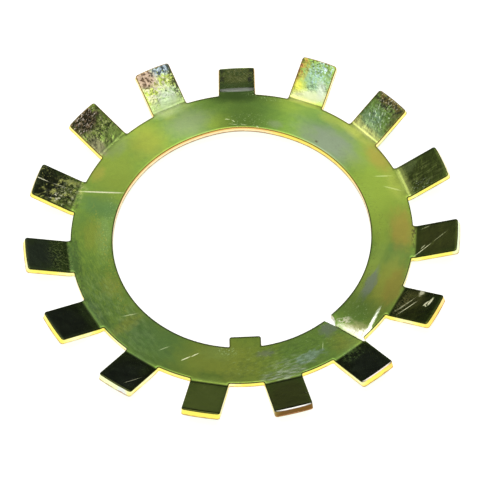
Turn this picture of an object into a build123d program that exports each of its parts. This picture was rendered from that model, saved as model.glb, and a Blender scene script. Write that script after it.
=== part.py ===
from build123d import *
import os
from math import cos, radians, sin, sqrt

# Tab lock washer for a slotted round nut: one sheet steel stamping with its tabs folded.
# The axis is Z, the lower ring face lies at z = 0, and the lowered tab points along +Y.
# All lengths are in millimetres and all angles in degrees.

# Sheet and ring
thickness = 1.5
bore_diameter = 52.5
ring_diameter = 69.6

# Outer tabs as cut in the flat blank, where tab 0 is the lowered one and the rest follow clockwise
tab_count = 15
tab_width = 7.65
blank_diameter = 89.2
root_radius = 0.35
tab_corner_radius = 0.6

# Folds: inner radius, angles, and the flat land between the end of the root and each fold
fold_radius = 1.5
raise_angle = 23.0
raised_land = 0.1
lower_angle = 23.0
lowered_land = 0.45

# Inner tongue opposite tab 0, which drops into the keyway of the shaft
tongue_width = 6.3
tongue_reach = 2.55
tongue_corner_radius = 0.5
tongue_root_radius = 0.2

# Rounding that the punch leaves along the upper edges
edge_roll = 0.22

# Break: a chip at the bore and a crack from its bottom to the root of one tab.
# Its angles are counted anticlockwise from that tab's centreline.
cracked_tab = 6
chip_depth = 2.5
chip_start_angle = 0.85
chip_bottom_angle = 2.65
chip_end_angle = 4.9
chip_bulge_angle = 4.45
crack_width = 0.15
crack_middle_angle = 3.9
crack_inset = 0.45
crack_rise = 0.68
crack_hook = 0.3

# Derived sizes
bore_radius = bore_diameter / 2
ring_radius = ring_diameter / 2
blank_radius = blank_diameter / 2
half_tab = tab_width / 2
tab_pitch = 360 / tab_count
tongue_tip = bore_radius - tongue_reach
root_end = sqrt((ring_radius + root_radius) ** 2 - (half_tab + root_radius) ** 2)
match_tolerance = 1e-4


def folded_tab(land, fold_angle):
    """Fold and flange of the tab on +Y; a positive angle lifts it and a negative one lowers it."""
    fold_start = root_end + land
    fold_length = radians(abs(fold_angle)) * (fold_radius + thickness / 2)
    pivot_height = thickness + fold_radius if fold_angle > 0 else -fold_radius
    turn = radians(fold_angle)
    flange_plane = Plane(
        origin=(0, fold_start + pivot_height * sin(turn), pivot_height * (1 - cos(turn))),
        x_dir=(1, 0, 0),
        z_dir=(0, -sin(turn), cos(turn)),
    )
    with BuildPart() as tab:
        with BuildSketch(Plane.XZ.offset(-fold_start)):
            Rectangle(tab_width, thickness, align=(Align.CENTER, Align.MIN))
        revolve(
            axis=Axis((0, fold_start, pivot_height), (fold_angle, 0, 0)),
            revolution_arc=abs(fold_angle),
        )
        with BuildSketch(flange_plane) as flange:
            with Locations((0, -fold_start - fold_length)):
                Circle(blank_radius)
            Rectangle(
                tab_width,
                blank_radius,
                align=(Align.CENTER, Align.MIN),
                mode=Mode.INTERSECT,
            )
            fillet(flange.vertices().group_by(Axis.Y)[-1], tab_corner_radius)
        extrude(amount=thickness)
    return tab.part


def on_circle(vertices, radius):
    """Those of the sketch vertices that lie on the circle of this radius."""
    return [v for v in vertices if abs(Vector(v).length - radius) < match_tolerance]


def from_cracked_tab(radius, angle):
    """Point of the break sketch, whose Y axis is the centreline of the cracked tab."""
    return (-radius * sin(radians(angle)), radius * cos(radians(angle)))


raised_tab = folded_tab(raised_land, raise_angle)
lowered_tab = folded_tab(lowered_land, -lower_angle)

with BuildPart() as tab_lock_washer:
    # Flat ring with a short land for every tab, and the tongue in its bore
    with BuildSketch() as blank:
        Circle(ring_radius)
        with PolarLocations(0, tab_count, start_angle=90):
            Rectangle(root_end + raised_land, tab_width, align=(Align.MIN, Align.CENTER))
        Rectangle(tab_width, root_end + lowered_land, align=(Align.CENTER, Align.MIN))
        tab_sides = blank.edges().filter_by(GeomType.LINE)
        fillet(on_circle(tab_sides.vertices(), ring_radius), root_radius)
        Circle(bore_radius, mode=Mode.SUBTRACT)
        with Locations((0, -tongue_tip)):
            Rectangle(tongue_width, tongue_reach, align=(Align.CENTER, Align.MAX))
        tongue_sides = blank.edges().filter_by(Axis.Y).filter_by_position(
            Axis.Y, -ring_radius, -tongue_tip
        )
        fillet(on_circle(tongue_sides.vertices(), bore_radius), tongue_root_radius)
        fillet(blank.vertices().sort_by_distance((0, 0))[:2], tongue_corner_radius)
    extrude(amount=thickness)

    # Folded tabs, the raised ones all round and the lowered one on +Y
    with PolarLocations(0, tab_count - 1, tab_pitch, 360 - 2 * tab_pitch, endpoint=True):
        add(raised_tab)
    add(lowered_tab)

    # Punched upper edges all round, on the ring, the folds, the flanges and the tongue
    upper_faces = tab_lock_washer.faces().filter_by(lambda face: face.normal_at().Z > 0.5)
    side_faces = tab_lock_washer.faces().filter_by(lambda face: abs(face.normal_at().Z) < 0.5)
    fillet(upper_faces.edges() & side_faces.edges(), edge_roll)

    # Chip and crack, cut after the edges were rolled, so that the broken edges stay sharp
    with BuildSketch(Plane.XY.rotated((0, 0, -cracked_tab * tab_pitch))):
        chip_bottom = from_cracked_tab(bore_radius + chip_depth, chip_bottom_angle)
        chip_end = from_cracked_tab(bore_radius, chip_end_angle)
        with BuildLine():
            Polyline(
                chip_end,
                from_cracked_tab(bore_radius - chip_depth, chip_bottom_angle),
                from_cracked_tab(bore_radius, chip_start_angle),
                chip_bottom,
            )
            ThreePointArc(
                chip_bottom,
                from_cracked_tab(bore_radius + chip_depth / 2, chip_bulge_angle),
                chip_end,
            )
        make_face()
        with BuildLine():
            crack = ThreePointArc(
                from_cracked_tab(bore_radius + chip_depth - 2 * crack_width, chip_bottom_angle),
                from_cracked_tab((bore_radius + chip_depth + root_end) / 2, crack_middle_angle),
                (crack_inset - half_tab, root_end + crack_rise),
            )
            Line(crack @ 1, (-half_tab - crack_width, root_end + crack_hook))
        trace(line_width=crack_width)
    extrude(amount=2 * thickness, both=True, mode=Mode.SUBTRACT)

tab_lock_washer.part.label = "tab_lock_washer"

os.makedirs("parts", exist_ok=True)
export_step(tab_lock_washer.part, "parts/tab_lock_washer.step")
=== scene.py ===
import logging
import math
from dataclasses import dataclass, field
from enum import IntEnum

import bpy
import numpy as np
from mathutils import Matrix, Vector, kdtree, noise
from mathutils.geometry import delaunay_2d_cdt


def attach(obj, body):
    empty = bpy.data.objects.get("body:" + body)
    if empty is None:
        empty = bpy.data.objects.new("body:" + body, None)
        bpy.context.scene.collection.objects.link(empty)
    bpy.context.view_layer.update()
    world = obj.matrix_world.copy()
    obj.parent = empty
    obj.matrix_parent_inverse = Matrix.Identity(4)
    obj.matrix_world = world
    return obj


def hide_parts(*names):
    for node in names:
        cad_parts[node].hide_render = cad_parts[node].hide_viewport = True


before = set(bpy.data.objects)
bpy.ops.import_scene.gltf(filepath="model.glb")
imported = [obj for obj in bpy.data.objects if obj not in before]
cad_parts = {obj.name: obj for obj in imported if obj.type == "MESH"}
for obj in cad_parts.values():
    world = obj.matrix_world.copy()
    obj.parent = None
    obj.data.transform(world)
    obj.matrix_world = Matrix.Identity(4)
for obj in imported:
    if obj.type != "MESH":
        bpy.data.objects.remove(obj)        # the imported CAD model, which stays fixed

# Looks of a tab lock washer: one steel stamping, zinc plated and yellow passivated.
# The sheet is drawn as its flat blank in millimetres, with its rolled edges, its break and
# its warp, and a Geometry Nodes tree then folds the tabs. The axis is Z, the lower ring face
# lies at z = 0 and the lowered tab, which is number 0, points along +Y.

LOG = logging.getLogger("washer")
MM = 0.001
NODE = "tab_lock_washer"
BODY = "root"
Socket = bpy.types.NodeSocket
Colour = tuple[float, float, float]
# Distance from the axis that all of the washer lies within
FAR = 100.0
# Numbers of the sockets for one type of value on nodes that take several types
COMPARED_INTEGERS = (2, 3)
MIXED_VECTORS, VECTOR_RESULT = (4, 5), 1
MIXED_COLOURS, COLOUR_RESULT = (6, 7), 2
# How far one step of a noise's seed moves it, in its own cells
SEED_STEP = (17.3, 9.1, 5.7)


class Wall(IntEnum):
    """Surfaces of the sheet, of which each has its finish. The value is stored on its faces."""

    RING = 0
    TAB = 1
    PUNCHED = 2
    BROKEN = 3


def polar(radius: float, angle: float) -> np.ndarray:
    """Point at this radius and at this angle from +X, anticlockwise, in radians."""
    return radius * np.array((math.cos(angle), math.sin(angle)))


def parabola(start: np.ndarray, middle: np.ndarray, end: np.ndarray, share: float) -> np.ndarray:
    """Point of the parabola that starts, is halfway and ends at three points.

    Args:
        start: the first point.
        middle: the second point.
        end: the third point.
        share: how far along the parabola the wanted point lies, from 0 to 1.

    Returns:
        The point.
    """
    return (2 * (share - 0.5) * (share - 1) * start - 4 * share * (share - 1) * middle
            + 2 * share * (share - 0.5) * end)


@dataclass(frozen=True)
class WasherSizes:
    """Sizes of the washer in millimetres and degrees, which are those of its CAD solid.

    The tabs are given as they are cut in the flat blank. A land is the flat stretch between
    the end of a tab's root and its fold.
    """

    thickness: float = 1.5
    bore_diameter: float = 52.5
    ring_diameter: float = 69.6
    tab_count: int = 15
    tab_width: float = 7.65
    blank_diameter: float = 89.2
    root_radius: float = 0.35
    tab_corner_radius: float = 0.6
    fold_radius: float = 1.5
    raise_angle: float = 23.0
    raised_land: float = 0.1
    lower_angle: float = 23.0
    lowered_land: float = 0.45
    tongue_width: float = 6.3
    tongue_reach: float = 2.55
    tongue_corner_radius: float = 0.5
    tongue_root_radius: float = 0.2
    edge_roll: float = 0.22

    @property
    def bore_radius(self) -> float:
        """Radius of the bore."""
        return self.bore_diameter / 2

    @property
    def ring_radius(self) -> float:
        """Outer radius of the ring between the tabs."""
        return self.ring_diameter / 2

    @property
    def blank_radius(self) -> float:
        """Radius of the flat blank at the tips of its tabs."""
        return self.blank_diameter / 2

    @property
    def half_tab(self) -> float:
        """Half the width of a tab."""
        return self.tab_width / 2

    @property
    def tab_pitch(self) -> float:
        """Angle from one tab to the next, in radians."""
        return math.tau / self.tab_count

    @property
    def root_end(self) -> float:
        """Distance from the axis at which a tab's root rounding ends."""
        reach = self.half_tab + self.root_radius
        return math.sqrt((self.ring_radius + self.root_radius) ** 2 - reach**2)

    @property
    def root_lean(self) -> float:
        """Angle from a tab's centreline to the centre of its root rounding, in radians."""
        return math.asin((self.half_tab + self.root_radius) / (self.ring_radius + self.root_radius))

    def fold_start(self, index: int) -> float:
        """Distance from the axis at which the fold of a tab starts in the blank."""
        return self.root_end + (self.raised_land if index else self.lowered_land)

    def fold_length(self, index: int) -> float:
        """Length of the fold of a tab in the blank, along the middle of the sheet."""
        angle = self.raise_angle if index else self.lower_angle
        return math.radians(angle) * (self.fold_radius + self.thickness / 2)

    def tab_angle(self, index: int) -> float:
        """Direction of a tab, in radians anticlockwise from +X."""
        return math.pi / 2 - index * self.tab_pitch

    def tab_point(self, index: int, along: float, across: float) -> np.ndarray:
        """Point of the blank, given in a tab's own directions.

        Args:
            index: number of the tab, clockwise from the lowered one.
            along: distance from the axis along the tab's centreline.
            across: distance from that centreline, positive on the clockwise side.

        Returns:
            The point in millimetres.
        """
        turn = self.tab_angle(index)
        return polar(along, turn) + polar(across, turn - math.pi / 2)


@dataclass(frozen=True)
class BreakSizes:
    """The chip at the bore and the crack from it to the root of one tab.

    Lengths are in millimetres. Angles are in degrees, anticlockwise from the centreline of
    the cracked tab. The broken edges are ragged by a grain of this size.
    """

    tab: int = 6
    chip_depth: float = 2.5
    chip_start_angle: float = 0.85
    chip_bottom_angle: float = 2.65
    chip_end_angle: float = 4.9
    chip_bulge_angle: float = 4.45
    crack_middle_angle: float = 3.9
    crack_inset: float = 0.45
    crack_rise: float = 0.68
    crack_hook: float = 0.3
    inner_gap: float = 0.06
    outer_gap: float = 0.04
    crack_step: float = 0.22
    raggedness: float = 0.06
    grain: float = 1.4 / 3
    side_room: float = 1.4


@dataclass(frozen=True)
class WarpSizes:
    """How far the sheet is out of flat, in millimetres and degrees.

    The stamping is slightly dished, with its bore lower than its rim, but not beside the
    lowered tab. The dish goes on into the tongue. The end of the ring at the break has
    sprung up and curls down at its edge. Slight waves fade out towards the rim.
    """

    dish: float = 0.55
    dish_end: float = 1.3
    dish_relief: float = 1.0
    relief_angle: float = 16.0
    spring_height: float = 0.5
    spring_length: float = 11.0
    curl_height: float = 0.28
    curl_length: float = 1.7
    wave_height: float = 0.036
    wave_length: float = 9.0
    wave_fade: float = 4.0


# Degrees from one tab to the next
TAB_STEP = 360 / WasherSizes.tab_count


class Pen:
    """Draws a stretch of the outline, with the sheet on its left.

    Points closer together than CLOSE, in millimetres, count as one.
    """

    CLOSE: float = 1e-6
    LEAST_STEPS: int = 5

    def __init__(self, start: np.ndarray) -> None:
        """Starts the stretch at this point."""
        self.points = [np.asarray(start, float)]

    def to(self, point: np.ndarray) -> None:
        """Adds a point, unless the pen is there already."""
        if np.linalg.norm(point - self.points[-1]) > self.CLOSE:
            self.points.append(np.asarray(point, float))

    def line(self, end: np.ndarray, step: float) -> None:
        """Draws a straight line in equal steps.

        Args:
            end: its far end.
            step: about the length of a step.
        """
        start = self.points[-1]
        count = max(1, round(np.linalg.norm(end - start) / step))
        for share in np.linspace(0, 1, count + 1)[1:]:
            self.to(start + (end - start) * share)

    def arc(self, centre: np.ndarray, radius: float, start: float, sweep: float,
            step: float) -> None:
        """Draws an arc.

        Args:
            centre: centre of the arc.
            radius: its radius.
            start: angle of its first point from +X, in radians.
            sweep: angle that it covers, positive anticlockwise.
            step: longest distance between two of its points.
        """
        count = max(self.LEAST_STEPS, math.ceil(abs(sweep) * radius / step))
        for angle in np.linspace(start, start + sweep, count + 1):
            self.to(centre + polar(radius, angle))


@dataclass
class Run:
    """A stretch of the outline whose wall was made in one way."""

    points: np.ndarray
    wall: Wall


@dataclass
class Blank:
    """The flat blank: its outline, its triangles and the solid sheet that they give.

    Lengths are in millimetres. A tab's scatter is added to the angle of its fold, in degrees,
    and its mottle is how strongly the press has marked it. Wall levels are shares of the
    wall's height, and the wall grain is how fast it varies along X, Y and Z.
    """

    sizes: WasherSizes = field(default_factory=WasherSizes)
    damage: BreakSizes = field(default_factory=BreakSizes)
    warp: WarpSizes = field(default_factory=WarpSizes)
    edge_step: float = 0.34
    fine_step: float = 0.12
    face_step: float = 0.5
    fold_rows: int = 9
    roll_rows: int = 4
    margin: float = 0.16
    break_margin: float = 0.13
    wall_levels: tuple[float, ...] = (0.92, 0.74, 0.55, 0.38, 0.26, 0.12)
    wall_grain: tuple[float, float, float] = (2.2, 2.2, 1.4)
    shear_roughness: float = 0.02
    break_roughness: float = 0.035
    tab_scatter: tuple[float, ...] = (
        0.0, 0.0, -0.8, -0.2, 0.0, -2.3, -1.9, 0.0, 0.0, -1.2, -1.5, 0.0, -0.3, -0.4, 0.0,
    )
    tab_mottle: tuple[float, ...] = (
        0.35, 0.7, 0.6, 0.4, 0.3, 0.35, 0.12, 0.15, 0.1, 0.08, 0.08, 0.35, 0.9, 1.0, 1.0,
    )

    def side_stations(self, index: int) -> np.ndarray:
        """Distances from the axis at which the rows of points cross a tab.

        Args:
            index: number of the tab.

        Returns:
            The distances in the blank, from the end of the root to the corner.
        """
        size = self.sizes
        start, length = size.fold_start(index), size.fold_length(index)
        inner = size.blank_radius - size.tab_corner_radius
        reach = size.half_tab - size.tab_corner_radius
        corner = math.sqrt(inner**2 - reach**2)
        fold = np.linspace(start, start + length, self.fold_rows + 1)
        count = round((corner - fold[-1]) / self.edge_step)
        flange = np.linspace(fold[-1], corner, count + 1)
        return np.concatenate(([size.root_end], fold, flange[1:]))

    def tab_up(self, pen: Pen, index: int) -> None:
        """Draws the clockwise side of a tab outwards, from its root rounding.

        Args:
            pen: the pen.
            index: number of the tab.
        """
        size = self.sizes
        turn, radius, lean = size.tab_angle(index), size.root_radius, size.root_lean
        centre = polar(size.ring_radius + radius, turn - lean)
        pen.arc(centre, radius, turn - lean + math.pi, lean - math.pi / 2, self.fine_step)
        for along in self.side_stations(index):
            pen.to(size.tab_point(index, along, size.half_tab))

    def tab_tip(self, pen: Pen, index: int) -> None:
        """Draws the two corners of a tab and the arc between them.

        Args:
            pen: the pen.
            index: number of the tab.
        """
        size = self.sizes
        turn, radius = size.tab_angle(index), size.tab_corner_radius
        inner = size.blank_radius - radius
        lean = math.asin((size.half_tab - radius) / inner)
        quarter = math.pi / 2 - lean
        pen.arc(polar(inner, turn - lean), radius, turn - math.pi / 2, quarter, self.fine_step)
        pen.arc(np.zeros(2), size.blank_radius, turn - lean, 2 * lean, self.edge_step)
        pen.arc(polar(inner, turn + lean), radius, turn + lean, quarter, self.fine_step)

    def tab_down(self, pen: Pen, index: int, above: float = 0.0, below: float = FAR) -> None:
        """Draws the anticlockwise side of a tab, inwards, and its root rounding.

        Args:
            pen: the pen.
            index: number of the tab.
            above: distance from the axis under which nothing is drawn.
            below: distance from the axis over which nothing is drawn.
        """
        size = self.sizes
        for along in self.side_stations(index)[::-1]:
            if above < along < below:
                pen.to(size.tab_point(index, along, -size.half_tab))
        if above > 0:
            return
        turn, radius, lean = size.tab_angle(index), size.root_radius, size.root_lean
        centre = polar(size.ring_radius + radius, turn + lean)
        pen.arc(centre, radius, turn - math.pi / 2, lean - math.pi / 2, self.fine_step)

    def outer_run(self, ring_side: np.ndarray, tab_side: np.ndarray) -> Run:
        """Outer contour, anticlockwise from the crack's ring side to its tab side.

        Args:
            ring_side: mouth of the crack on the ring's side.
            tab_side: mouth of the crack on the tab's side.

        Returns:
            The run.
        """
        size, cracked = self.sizes, self.damage.tab
        gap = size.tab_pitch - 2 * size.root_lean
        mouth = size.root_end + self.damage.crack_hook
        pen = Pen(ring_side)
        self.tab_down(pen, cracked, below=mouth - self.fine_step)
        for step in range(1, size.tab_count + 1):
            index = (cracked - step) % size.tab_count
            start = size.tab_angle(index) - size.root_lean - gap
            pen.arc(np.zeros(2), size.ring_radius, start, gap, self.edge_step)
            self.tab_up(pen, index)
            self.tab_tip(pen, index)
            if index != cracked:
                self.tab_down(pen, index)
        self.tab_down(pen, cracked, above=mouth + self.fine_step)
        pen.to(tab_side)
        return Run(np.array(pen.points), Wall.PUNCHED)

    def bore_run(self, start: float, end: float) -> Run:
        """Bore with its tongue, clockwise from one lip of the chip to the other.

        Args:
            start: angle of the first lip, in radians from +X.
            end: angle of the last lip, less than the first one.

        Returns:
            The run.
        """
        size = self.sizes
        half, root = size.tongue_width / 2, size.tongue_root_radius
        corner = size.tongue_corner_radius
        inner = size.bore_radius - root
        lean = math.asin((half + root) / inner)
        down, quarter = -math.pi / 2, math.pi / 2
        tip = -(size.bore_radius - size.tongue_reach)
        origin = np.zeros(2)
        pen = Pen(polar(size.bore_radius, start))
        pen.arc(origin, size.bore_radius, start, down + lean - start, self.edge_step)
        pen.arc(polar(inner, down + lean), root, down + lean, -quarter - lean, self.fine_step)
        pen.line(np.array((half, tip - corner)), self.edge_step)
        pen.arc(np.array((half - corner, tip - corner)), corner, 0, quarter, self.fine_step)
        pen.line(np.array((corner - half, tip)), self.edge_step)
        pen.arc(np.array((corner - half, tip - corner)), corner, quarter, quarter, self.fine_step)
        pen.line(np.array((-half, polar(inner, down - lean)[1])), self.edge_step)
        pen.arc(polar(inner, down - lean), root, 0, -quarter - lean, self.fine_step)
        sweep = end - (down - lean)
        pen.arc(origin, size.bore_radius, down - lean, sweep, self.edge_step)
        return Run(np.array(pen.points), Wall.PUNCHED)

    def break_point(self, radius: float, degrees: float) -> np.ndarray:
        """Point at this radius and this angle, in degrees, from the cracked tab."""
        return polar(radius, self.sizes.tab_angle(self.damage.tab) + math.radians(degrees))

    def ragged(self, points: np.ndarray) -> np.ndarray:
        """Moves the inner points of a line sideways by the grain of the broken sheet.

        Args:
            points: the line.

        Returns:
            The ragged line, with the same ends.
        """
        moved = points.copy()
        for k in range(1, len(points) - 1):
            ahead = points[k + 1] - points[k - 1]
            left = np.array((-ahead[1], ahead[0])) / np.linalg.norm(ahead)
            place = Vector((*points[k], 0.0)) / self.damage.grain
            moved[k] += left * self.damage.raggedness * noise.noise(place)
        return moved

    def crack_line(self) -> np.ndarray:
        """Middle of the crack, from the side of the tab to the bottom of the chip.

        Returns:
            The line.
        """
        size, cut = self.sizes, self.damage
        bottom = self.break_point(size.bore_radius + cut.chip_depth, cut.chip_bottom_angle)
        middle_radius = (size.bore_radius + cut.chip_depth + size.root_end) / 2
        middle = self.break_point(middle_radius, cut.crack_middle_angle)
        turn = size.tab_point(cut.tab, size.root_end + cut.crack_rise,
                              cut.crack_inset - size.half_tab)
        mouth = size.tab_point(cut.tab, size.root_end + cut.crack_hook, -size.half_tab)
        hook = Pen(mouth)
        hook.line(turn, cut.crack_step)
        count = round(np.linalg.norm(turn - bottom) / cut.crack_step)
        for share in np.linspace(0, 1, count + 1)[1:]:
            hook.to(parabola(turn, middle, bottom, share))
        return self.ragged(np.array(hook.points))

    def chip_walls(self) -> tuple[np.ndarray, np.ndarray]:
        """Walls of the chip in plan.

        Returns:
            The wall from the chip's bottom to the lip beside the tab, and the one from the
            bottom to the other lip.
        """
        size, cut = self.sizes, self.damage
        bottom = self.break_point(size.bore_radius + cut.chip_depth, cut.chip_bottom_angle)
        near, far = Pen(bottom), Pen(bottom)
        near.line(self.break_point(size.bore_radius, cut.chip_start_angle), self.fine_step)
        bulge = self.break_point(size.bore_radius + cut.chip_depth / 2, cut.chip_bulge_angle)
        lip = self.break_point(size.bore_radius, cut.chip_end_angle)
        for share in np.linspace(0, 1, len(near.points))[1:]:
            far.to(parabola(bottom, bulge, lip, share))
        return self.ragged(np.array(near.points)), self.ragged(np.array(far.points))

    def runs(self) -> list[Run]:
        """The closed outline in four runs, each of which starts where the last one ends.

        Returns:
            The outer contour, the tab's side of the break, the bore and the break's other side.
        """
        cut = self.damage
        middle = self.crack_line()
        ahead = np.gradient(middle, axis=0)
        ahead /= np.linalg.norm(ahead, axis=1)[:, None]
        ahead[0] = ahead[1]
        left = np.stack((-ahead[:, 1], ahead[:, 0]), axis=1)
        opening = np.linspace(cut.outer_gap, cut.inner_gap, len(middle))[:, None] / 2
        tab_bank, ring_bank = middle + left * opening, middle - left * opening
        for bank, shift in ((tab_bank, 1), (ring_bank, -1)):
            along = self.sizes.root_end + cut.crack_hook + shift * cut.outer_gap
            bank[0] = self.sizes.tab_point(cut.tab, along, -self.sizes.half_tab)
        near, far = self.chip_walls()
        near, far = near[1:], far[1:]
        outer = self.outer_run(ring_bank[0], tab_bank[0])
        tab_angle = self.sizes.tab_angle(cut.tab)
        bore = self.bore_run(tab_angle + math.radians(cut.chip_start_angle),
                             tab_angle + math.radians(cut.chip_end_angle) - math.tau)
        return [
            outer,
            Run(np.concatenate((tab_bank, near)), Wall.BROKEN),
            bore,
            Run(np.concatenate((far[::-1], ring_bank[::-1])), Wall.BROKEN),
        ]

    def roll_offsets(self) -> tuple[np.ndarray, np.ndarray]:
        """Section of a rolled edge.

        Returns:
            Distances inwards from the edge, and how far the face lies under its level there.
        """
        angles = np.linspace(0, math.pi / 2, self.roll_rows + 1)
        roll = self.sizes.edge_roll
        return roll * (1 - np.cos(angles)), roll * (1 - np.sin(angles))

    def roll_drop(self, inset: np.ndarray) -> np.ndarray:
        """How far the upper face lies under its level beside a rolled edge.

        Args:
            inset: distances from the edge.

        Returns:
            The drops.
        """
        roll = self.sizes.edge_roll
        short = np.clip(roll - inset, 0, roll)
        return roll - np.sqrt(roll**2 - short**2)

    def broken_drop(self, points: np.ndarray) -> np.ndarray:
        """Drop of the face at the break, which cuts through two rolled edges.

        Args:
            points: points of the break in plan.

        Returns:
            The drops.
        """
        size = self.sizes
        turn = size.tab_angle(self.damage.tab)
        along = points @ polar(1, turn)
        side = points @ polar(1, turn - math.pi / 2) + size.half_tab
        to_bore = np.linalg.norm(points, axis=1) - size.bore_radius
        beside_tab = along > size.root_end
        return self.roll_drop(np.where(beside_tab, np.minimum(to_bore, side), to_bore))

    def face_points(self) -> np.ndarray:
        """Points spread over the ring, the tongue and the tabs, before they are trimmed.

        Returns:
            The points, some of which lie outside the outline.
        """
        size, step = self.sizes, self.face_step
        found = []
        count = round((size.ring_radius - size.bore_radius) / step)
        for row, radius in enumerate(np.linspace(size.bore_radius, size.ring_radius, count + 1)):
            number = round(math.tau * radius / step)
            turns = (np.arange(number) + 0.5 * (row % 2)) * math.tau / number
            found.append(np.stack((radius * np.cos(turns), radius * np.sin(turns)), axis=1))
        across = np.arange(-size.half_tab, size.half_tab, step)
        depth = np.arange(-size.bore_radius, -size.bore_radius + size.tongue_reach, step)
        found.append(np.array([(x, y) for x in across for y in depth]))
        for index in range(size.tab_count):
            stations = np.append(self.side_stations(index), size.blank_radius - 2 * step)
            found.append(np.array([size.tab_point(index, along, side)
                                   for along in stations for side in across + step / 2]))
        return np.concatenate(found)

    def inside(self, points: np.ndarray, loop: np.ndarray) -> np.ndarray:
        """Finds the points inside an outline, by the edges that a ray from each one meets.

        Args:
            points: the points.
            loop: the closed outline.

        Returns:
            Whether each point lies inside.
        """
        ends = np.roll(loop, -1, axis=0)
        x, y = points[:, :1], points[:, 1:]
        crosses = (loop[:, 1] > y) != (ends[:, 1] > y)
        rise = np.where(ends[:, 1] == loop[:, 1], 1.0, ends[:, 1] - loop[:, 1])
        meets = loop[:, 0] + (y - loop[:, 1]) * (ends[:, 0] - loop[:, 0]) / rise
        return ((crosses & (x < meets)).sum(axis=1) % 2).astype(bool)

    def clear_of(self, points: np.ndarray, line: np.ndarray, gap: float) -> np.ndarray:
        """Finds the points that keep clear of a line.

        Args:
            points: the points.
            line: points of the line.
            gap: the distance to keep.

        Returns:
            Whether each point lies farther than the gap from every point of the line.
        """
        tree = kdtree.KDTree(len(line))
        for k, point in enumerate(line):
            tree.insert((*point, 0.0), k)
        tree.balance()
        return np.array([tree.find((*point, 0.0))[2] > gap for point in points])

    def trimmed_points(self, loop: np.ndarray) -> np.ndarray:
        """Face points that lie inside the outline and clear of its rolled edge.

        Args:
            loop: the closed outline.

        Returns:
            The points.
        """
        points = self.face_points()
        points = points[self.clear_of(points, loop, self.sizes.edge_roll + self.margin)]
        return points[self.inside(points, loop)]

    def layout(self) -> "Layout":
        """Lays out the face: its outline, the rows of its rolled edges and its inner points.

        Returns:
            The layout in plan, with the drop of each point.
        """
        runs = self.runs()
        loop = np.concatenate([run.points[:-1] for run in runs])
        walls = np.concatenate([np.full(len(run.points) - 1, run.wall) for run in runs])
        drops = np.where(walls == Wall.PUNCHED, self.sizes.edge_roll, 0.0)
        broken = walls == Wall.BROKEN
        drops[broken] = self.broken_drop(loop[broken])
        points, levels, edges = [loop], [drops], []
        total = len(loop)
        insets, depths = self.roll_offsets()
        for run in (r for r in runs if r.wall == Wall.PUNCHED):
            ahead = run.points[2:] - run.points[:-2]
            ahead /= np.linalg.norm(ahead, axis=1)[:, None]
            inwards = np.stack((-ahead[:, 1], ahead[:, 0]), axis=1)
            for inset, depth in zip(insets[1:], depths[1:]):
                row = run.points[1:-1] + inwards * inset
                kept = np.flatnonzero(self.clear_of(row, loop[broken], self.break_margin))
                points.append(row[kept])
                levels.append(np.full(len(kept), depth))
                edges += [(total + k, total + k + 1) for k in range(len(kept) - 1)
                          if kept[k + 1] == kept[k] + 1]
                total += len(kept)
        spread = self.trimmed_points(loop)
        points.append(spread)
        levels.append(np.zeros(len(spread)))
        return Layout(np.concatenate(points), np.concatenate(levels), edges, walls)

    def warped(self, plan: np.ndarray) -> np.ndarray:
        """Height that the warp of the sheet adds.

        Args:
            plan: the points in plan.

        Returns:
            The height at each point.
        """
        size, warp = self.sizes, self.warp
        radius = np.linalg.norm(plan, axis=1)
        inward = (size.ring_radius - radius) / (size.ring_radius - size.bore_radius)
        inward = np.clip(inward, 0, warp.dish_end)
        from_lowered = np.degrees(np.arctan2(plan[:, 0], plan[:, 1]))
        relief = warp.dish_relief * np.exp(-((from_lowered / warp.relief_angle) ** 2))
        height = -warp.dish * inward * (1 - relief)
        height += self.sprung(plan)
        for k, point in enumerate(plan):
            wave = noise.noise(Vector((point[0], point[1], 0)) / warp.wave_length)
            height[k] += warp.wave_height * wave * min(1.0, warp.wave_fade * inward[k])
        return height

    def beyond(self, line: np.ndarray) -> np.ndarray:
        """Outline round all that lies past the crack, up to a third of a turn on.

        Args:
            line: the middle of the crack, from the side of the tab to the chip.

        Returns:
            The outline, which runs on inside the bore and back between the two tabs.
        """
        size, cut = self.sizes, self.damage
        sixth, between_tabs = 60.0, math.degrees(size.tab_pitch / 2)
        inner = [self.break_point(size.bore_radius / 2, turn)
                 for turn in (cut.chip_bottom_angle, sixth, 2 * sixth)]
        outer = [self.break_point(FAR, turn) for turn in (2 * sixth, sixth, between_tabs)]
        beside = size.tab_point(cut.tab, size.root_end + cut.crack_hook,
                                -size.half_tab - cut.side_room)
        return np.array([*line, *inner, *outer, beside])

    def past_crack(self, plan: np.ndarray) -> np.ndarray:
        """How far points lie past the crack, on the side that has sprung up.

        Args:
            plan: the points.

        Returns:
            The distances along the ring, which are 0 on the other side of the crack.
        """
        line = self.crack_line()
        beyond = self.inside(plan, self.beyond(line))
        line_radius = np.linalg.norm(line, axis=1)
        inwards = slice(int(line_radius.argmax()), None)
        line_radius = line_radius[inwards][::-1]
        line_turn = np.arctan2(line[inwards, 1], line[inwards, 0])[::-1]
        radius = np.linalg.norm(plan, axis=1)
        turn = np.arctan2(plan[:, 1], plan[:, 0])
        behind = (turn - np.interp(radius, line_radius, line_turn)) % math.tau
        behind[behind > math.pi] = 0.0
        # The very edge of the crack counts as past it too
        least = 0.001
        return np.where(beyond, np.maximum(behind * radius, least), 0.0)

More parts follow.
